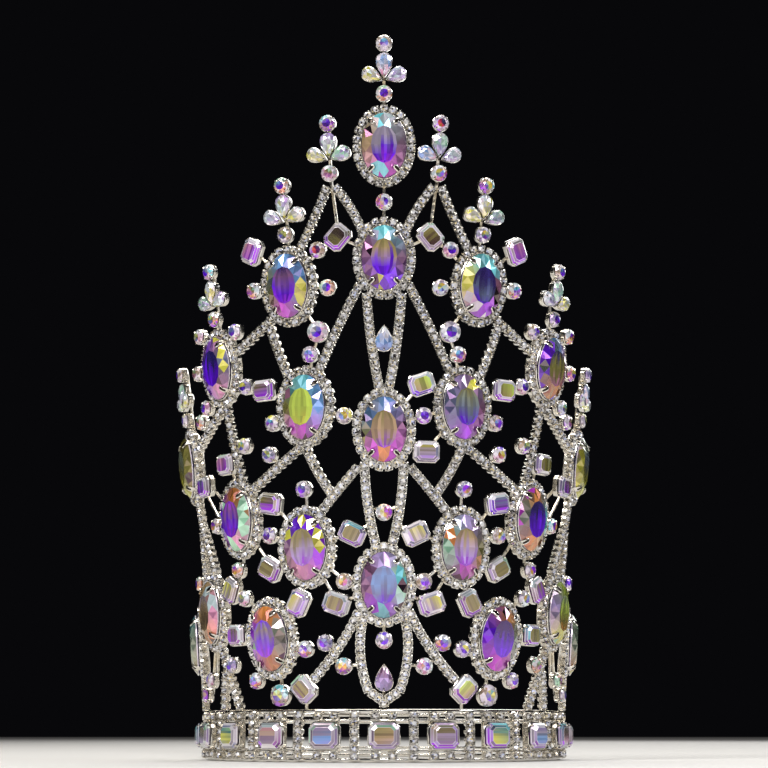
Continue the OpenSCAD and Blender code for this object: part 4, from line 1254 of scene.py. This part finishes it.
def bent_bars(path, section):
    """Bars that rise beside the girdle at the prong clocks and bend in over the stone. The section is lifted
    off the path along the path's own normal, its direction turned a quarter."""
    c = np.radians(PRONG_CLOCKS)
    edge = np.stack([OVAL_A * np.sin(c), OVAL_B * np.cos(c)], -1)
    out = unit_length(np.stack([np.sin(c) / OVAL_A, np.cos(c) / OVAL_B], -1))
    side = np.stack([-out[:, 1], out[:, 0]], -1)
    ahead = np.gradient(path[:, :2], axis=0)
    normal = unit_length(np.stack([ahead[:, 1], -ahead[:, 0]], -1))
    lift, across = section.T
    d = path[:, :1] + lift * normal[:, :1]
    z = path[:, 1:2] + lift * normal[:, 1:]
    w = path[:, 2:] * across
    flat = edge[:, None, None] + out[:, None, None] * d[..., None] + side[:, None, None] * w[..., None]
    return joined(*[loft(np.concatenate([bar, z[..., None]], -1)) for bar in flat])


prongs, shade_strips = bent_bars(PRONG_PATH, PRONG_SECTION), bent_bars(HOLLOW_PATH, HOLLOW_SECTION)
oval_seats = seats(oval_rows)
metal_piece("oval_settings", copies(joined(pan, border_wire, prongs), *oval_seats), PAN_METAL, 40)
# The strips down the prongs' hollows carry the painted shade, in a very dark metal
metal_piece("prong_shade_strips", copies(shade_strips, *oval_seats), PAINTED_SHADE_METAL, 40)

# %% [markdown]
# ### Small cups
# The small stones sit in low cups with four claws. From the front the stone hides its cup, all but the
# claws. A cup is the outline of its stone carried up the same kind of profile as a pan's, so one function
# makes the round, the eight-sided and the drop-shaped ones.

# %% Cups of the rounds, octagons and drops
CUP_PROFILE = [(-0.4, -FLOOR_T), (0.35, -0.3), (0.45, 1.5), (0.2, 1.7), (0.1, 1.4), (0, 0.1)]
SMALL_CLAW = dict(low=0.8, high=3.35, inward=0.45, width=0.8)
SMALL_CUP_SIDES = 16


def small_cup(outline, reach, angles):
    """Low cup round an outline, with claws at the reach of the outline in each direction."""
    bars = [claws(r, [angle], **SMALL_CLAW) for r, angle in zip(reach, angles)]
    return joined(band_of(outline, CUP_PROFILE), *bars)


def round_cup(d):
    """Cup of a round stone, with its claws on the diagonals."""
    return small_cup(oval_outline(d, d)(round_angles(SMALL_CUP_SIDES)), [d / 2 + 0.15] * 4, DIAGONALS)


def octagon_cup(l, w):
    """Cup of an eight-sided stone, with a claw at the middle of each cut corner."""
    x, y = l / 2 - CORNER / 2 * w, w / 2 - CORNER / 2 * w
    angle = math.degrees(math.atan2(y, x))
    angles = [angle, 180 - angle, 180 + angle, 360 - angle]
    return small_cup(octagon_outline(l, w), [math.hypot(x, y) + 0.1] * 4, angles)


def pear_cup(w, l):
    """Cup of a drop: claws at its point, at its two shoulders and at its round end."""
    outline = pear_outline(w, l)(round_angles(SMALL_CUP_SIDES))
    return small_cup(outline, [l / 2 - 0.35, w / 2 - 0.3, w / 2 - 0.3, l / 2 - 0.35], [90, 200, 340, 270])


cups = [(round_cup(ROUND_D), round_seats), (round_cup(BIG_ROUND_D), big_seats),
        (octagon_cup(OCT_L, OCT_W), octagon_seats), (pear_cup(DROP_W, DROP_L), drop_seats),
        (round_cup(ROUND_D), [low_seats, crest_seats]), (pear_cup(TOP_PEAR_W, TOP_PEAR_L), [top_seats]),
        (pear_cup(SIDE_PEAR_W, SIDE_PEAR_L), side_seats)]
placed_cups = [copies(cup, *seat) for cup, places in cups for seat in places]
metal_piece("small_cups", joined(*placed_cups), CUP_METAL, 40)

# %% [markdown]
# ### Support wires
# Short brass wires run behind the cups and tie them to the ovals and chains. A wire is a tube of six sides
# between two points, a little below the floors of the cups. Curves with a round bevel would do as well, but
# a tube needs only twelve points, and one call makes them all.

# %% Straight wires
def straight_wires(starts, ends, depth):
    """Tubes between pairs of points: a small circle carried from each start to its end, pushed back from the
    wall by depth, with both ends capped."""
    ahead = unit_length(ends - starts)
    side = unit_length(np.cross(out_of_wall((starts + ends) / 2), ahead))
    normal = np.cross(ahead, side)
    t = round_angles(WIRE_SIDES, 0.5)[:, None]
    ring = WIRE_R * (np.cos(t) * side[:, None] + np.sin(t) * normal[:, None]) - depth * normal[:, None]
    points = np.stack([starts[:, None] + ring, ends[:, None] + ring], 1)
    step = np.arange(len(starts))[:, None, None] * 2 * WIRE_SIDES
    cap = np.arange(WIRE_SIDES)
    walls = (grid_faces(2, WIRE_SIDES)[None] + step).reshape(-1, 4)
    caps = np.concatenate([cap[::-1] + step, cap + WIRE_SIDES + step]).reshape(-1, WIRE_SIDES)
    return points.reshape(-1, 3), [walls, caps]


def wire_ends(cups):
    """Start and end of each wire, for pairs of a cup's azimuth and share and the places that it runs to."""
    ends = []
    for (az, share), places in cups:
        cup = wall_point(az, share * CROWN_H)
        ends += [(cup, place_point(place, cup)) for place in places]
    return np.array(ends)


print("wires are", 2 * WIRE_R, "mm thick")

# %% Wires behind the cups
WIRE_DEPTH, STEM_FOOT = 0.85, 1
carried = [(row[:2], row[2:]) for row in ROUND_ROWS] + [(row[:2], row[3:]) for row in OCTAGON_ROWS]
carried += [((0, DROPS["drop_upper"]), [(ON_CHAIN, TO_3C, 0.47)]),
            ((0, CENTRE_ROUNDS["lower_rounds"][0]), [(ON_CHAIN, TO_4C, 0.53)])]
finial_wire = (place_point(FINIAL_FOOT) - [0, 0, CHAIN_W / 2], wall_point(*finial_rows[1]))
right_ends = np.concatenate([wire_ends(carried), [finial_wire]])
right_only = wire_ends([(row[:2], row[3:]) for row in RIGHT_OCTAGONS])
all_ends = np.concatenate([mirrored(right_ends), right_only])
centre_line = [(("1c", 180), ("2c", 0)), (("4c", 180), (0, CENTRE_ROUNDS["lower_rounds"][1])),
               ((0, DROPS["drop_lower"]), CHEVRON_TIP)]
centre_ends = np.array([(place_point(p), place_point(q)) for p, q in centre_line])
stem_low = finial_points - finial_axes[:, 1] * (FINIAL_RISE + STEM_FOOT)
stem_high = finial_points + finial_axes[:, 1] * CREST_REACH
starts = np.concatenate([all_ends[:, 0], centre_ends[:, 0], stem_low])
ends = np.concatenate([all_ends[:, 1], centre_ends[:, 1], stem_high])
metal_piece("support_wires", straight_wires(starts, ends, WIRE_DEPTH), WIRE_METAL, 50)
print(len(starts), "wires")

# %% [markdown]
# ## The band
# The band is four rings of drawn wire. Eleven eight-sided stones stand on it, with a bar of cup chain on
# each side of every stone. Above and below a stone sits a pair of cups, and behind everything flat struts
# run across the rails. Plain posts close the back. A rail could be a circle with a bevel, or a profile that
# is spun. Here it is a grid of points that closes both ways, so it has no seam.

# %% Rails, turned from a rounded profile
RAIL_STEPS, RAIL_SIDES = 180, 12
RIM_H, INNER_RAIL_H, RAIL_STEP = 1.8, 1.2, 5.0


def rail(low, high):
    """Ring of wire: a rounded rectangle, cosine and sine to the power 2/3, carried round the axis."""
    t = round_angles(RAIL_SIDES, 0.5)
    c, s = np.cos(t), np.sin(t)
    r = RAIL_R + 0.99 * RAIL_W / 2 * np.sign(c) * np.abs(c) ** (2 / 3)
    z = (low + high) / 2 + (high - low) / 2 * np.sign(s) * np.abs(s) ** (2 / 3)
    a = np.linspace(0, 2 * np.pi, RAIL_STEPS, endpoint=False)[:, None]
    grid = np.stack([r * np.cos(a), r * np.sin(a), z + 0 * a], -1)
    return grid.reshape(-1, 3), [grid_faces(RAIL_STEPS, RAIL_SIDES, close_rows=True)[:, ::-1]]


inner_top = BAND_H - RAIL_STEP
RAILS = [(0, RIM_H), (RAIL_STEP - INNER_RAIL_H, RAIL_STEP), (inner_top, inner_top + INNER_RAIL_H),
         (BAND_H - RIM_H, BAND_H)]
metal_piece("band_rails", joined(*[rail(*heights) for heights in RAILS]), RAIL_METAL, 60, ["base_band"])


# %% Bars of chain
def band_seats(az, z, radius, sideways=0.0):
    """Seats on the upright face of the band: azimuth, height, radius, and a shift along the flat."""
    a = np.radians(np.asarray(az, float))
    z = np.broadcast_to(np.asarray(z, float), a.shape)
    out = np.stack([np.sin(a), -np.cos(a), 0 * a], -1)
    across = np.stack([np.cos(a), np.sin(a), 0 * a], -1)
    up = np.tile([0, 0, 1.0], (len(a), 1))
    return out * radius + across * sideways + up * z[:, None], np.stack([across, up, out], 1)


BAND_PITCH, BAND_SIDE, BAND_MIDDLE = 17.3, 5, BAND_H / 2
BAR_R, BAR_PITCH, BAR_CUPS, PAIR_REACH = BASE_R + 0.1, 3.2, 6, 7.6
stone_az = np.arange(-BAND_SIDE, BAND_SIDE + 1) * BAND_PITCH
bar_az = (np.arange(-BAND_SIDE - 1, BAND_SIDE + 1) + 0.5) * BAND_PITCH
bar_z = BAND_MIDDLE + (np.arange(BAR_CUPS) - (BAR_CUPS - 1) / 2) * BAR_PITCH
bar_seats = [band_seats(np.repeat(bar_az, BAR_CUPS), np.tile(bar_z, len(bar_az)), BAR_R)]
pair_az = np.repeat(stone_az, 2)
pair_z = np.tile([BAND_MIDDLE - PAIR_REACH, BAND_MIDDLE + PAIR_REACH], len(stone_az))
bar_seats += [band_seats(pair_az, pair_z, BAR_R, side * BAND_STONE_W / 3) for side in (-1, 1)]
bar_origins, bar_axes = (np.concatenate(part) for part in zip(*bar_seats))
chain_pieces("band", STRAND_CUP, STRAND_STONE, bar_origins, turned(bar_axes, np.full(len(bar_axes), 90.0)))
print(len(bar_az), "bars,", len(bar_origins), "cups in the band")

# %% The band's stones, their cups, the struts and the posts
STONE_LIFT, BACK_R, POSTS = 1.3, BASE_R - 0.1, 9
POST_HALF, POST_RINGS = 8.8, ((1.0, -0.6), (1.0, 0.3), (0.6, 0.6))
STRUT_SIZES, BACK_SHIFT = (0.9, 9.3, -0.8, -0.1), 4
band_stone_seats = band_seats(stone_az, BAND_MIDDLE, BASE_R + STONE_LIFT)
stone_field("band_octagon_stones", [(band_stone, *band_stone_seats)], "pale_stone", ["band_octagons"],
            **BAND_LOOK)
last_bar = (BAND_SIDE + 0.5) * BAND_PITCH
post_az = last_bar + np.arange(1, POSTS + 1) * (360 - 2 * last_bar) / (POSTS + 1)
post = loft(np.array([[(x, -POST_HALF, z), (x * 0.8, POST_HALF, z), (-x * 0.8, POST_HALF, z),
                       (-x, -POST_HALF, z)] for x, z in POST_RINGS]))
posts = copies(post, *band_seats(post_az, BAND_MIDDLE, RAIL_R))
strut_seats = [band_seats(stone_az, BAND_MIDDLE, BACK_R, x) for x in (-BACK_SHIFT, BACK_SHIFT)]
strut_seats.append(band_seats(bar_az, BAND_MIDDLE, BACK_R))
struts = [copies(flat_bar(*STRUT_SIZES), *seat) for seat in strut_seats]
band_cups = copies(octagon_cup(BAND_STONE_L, BAND_STONE_W), *band_stone_seats)
metal_piece("band_cups_and_posts", joined(band_cups, posts, *struts), CUP_METAL, 40)

# %% [markdown]
# ## The studio
# A pale floor and soft lights. A mirror finish shows what stands round it, so the room is dark and the
# lights are wide panels. There are five: the key high on the left, a fill on the right, one in front, a
# strip above, and one behind for the rims. A picture of a room could light it too, but a panel is easier to
# move to where a glint is wanted.

# %% Floor and dark room
FLOOR_COLOUR, ROOM_COLOUR = "D8D6D2", "08080A"
FLOOR_HALF = 3
# Matte paint spreads the light, so the floor is an even pale grey with soft shadows
floor_material, tree, output = new_material("matte painted board")
shader = add_node(tree, "ShaderNodeBsdfPrincipled", Base_Color=(*linear(FLOOR_COLOUR), 1), Roughness=0.85)
tree.links.new(shader.outputs["BSDF"], output.inputs["Surface"])
floor_mesh = bpy.data.meshes.new("floor")
floor_corners = [(x * FLOOR_HALF, y * FLOOR_HALF, 0) for x, y in ((-1, -1), (1, -1), (1, 1), (-1, 1))]
floor_mesh.from_pydata(floor_corners, [], [(0, 1, 2, 3)])
floor_mesh.materials.append(floor_material)
floor = bpy.data.objects.new("floor", floor_mesh)
bpy.context.scene.collection.objects.link(floor)

world = bpy.data.worlds.new("dark room")
world.use_nodes = True
world.node_tree.nodes["Background"].inputs["Color"].default_value = (*linear(ROOM_COLOUR), 1)
bpy.context.scene.world = world
print("floor", 2 * FLOOR_HALF, "m wide, the room", ROOM_COLOUR)

# %% Lights
LIT_MIDDLE = np.array([0, 0, 0.14])


def soft_panel(name, place, size, watts, colour):
    """Rectangular light panel that faces the middle of the crown, turned by the angles of the line to it."""
    data = bpy.data.lights.new(name, "AREA")
    data.shape = "RECTANGLE"
    data.size, data.size_y = size
    data.energy = watts
    data.color = linear(colour)
    panel = bpy.data.objects.new(name, data)
    panel.location = place
    aim = LIT_MIDDLE - place
    panel.rotation_euler = (math.atan2(math.hypot(aim[0], aim[1]), -aim[2]), 0, math.atan2(-aim[0], aim[1]))
    bpy.context.scene.collection.objects.link(panel)


soft_panel("key", (-0.8, -1.0, 1.1), (0.42, 0.42), 15.5, "FFFFFF")
soft_panel("fill", (1.1, -0.5, 0.9), (0.36, 0.36), 6.5, "F2F5FF")
soft_panel("low front", (0.1, -1.5, 0.85), (0.32, 0.2), 11, "FFFFFF")
soft_panel("top", (0.0, 0.1, 1.2), (1.0, 0.3), 8, "FFFAF2")
soft_panel("back", (0.5, 1.2, 0.8), (1.0, 0.6), 7, "FFFFFF")
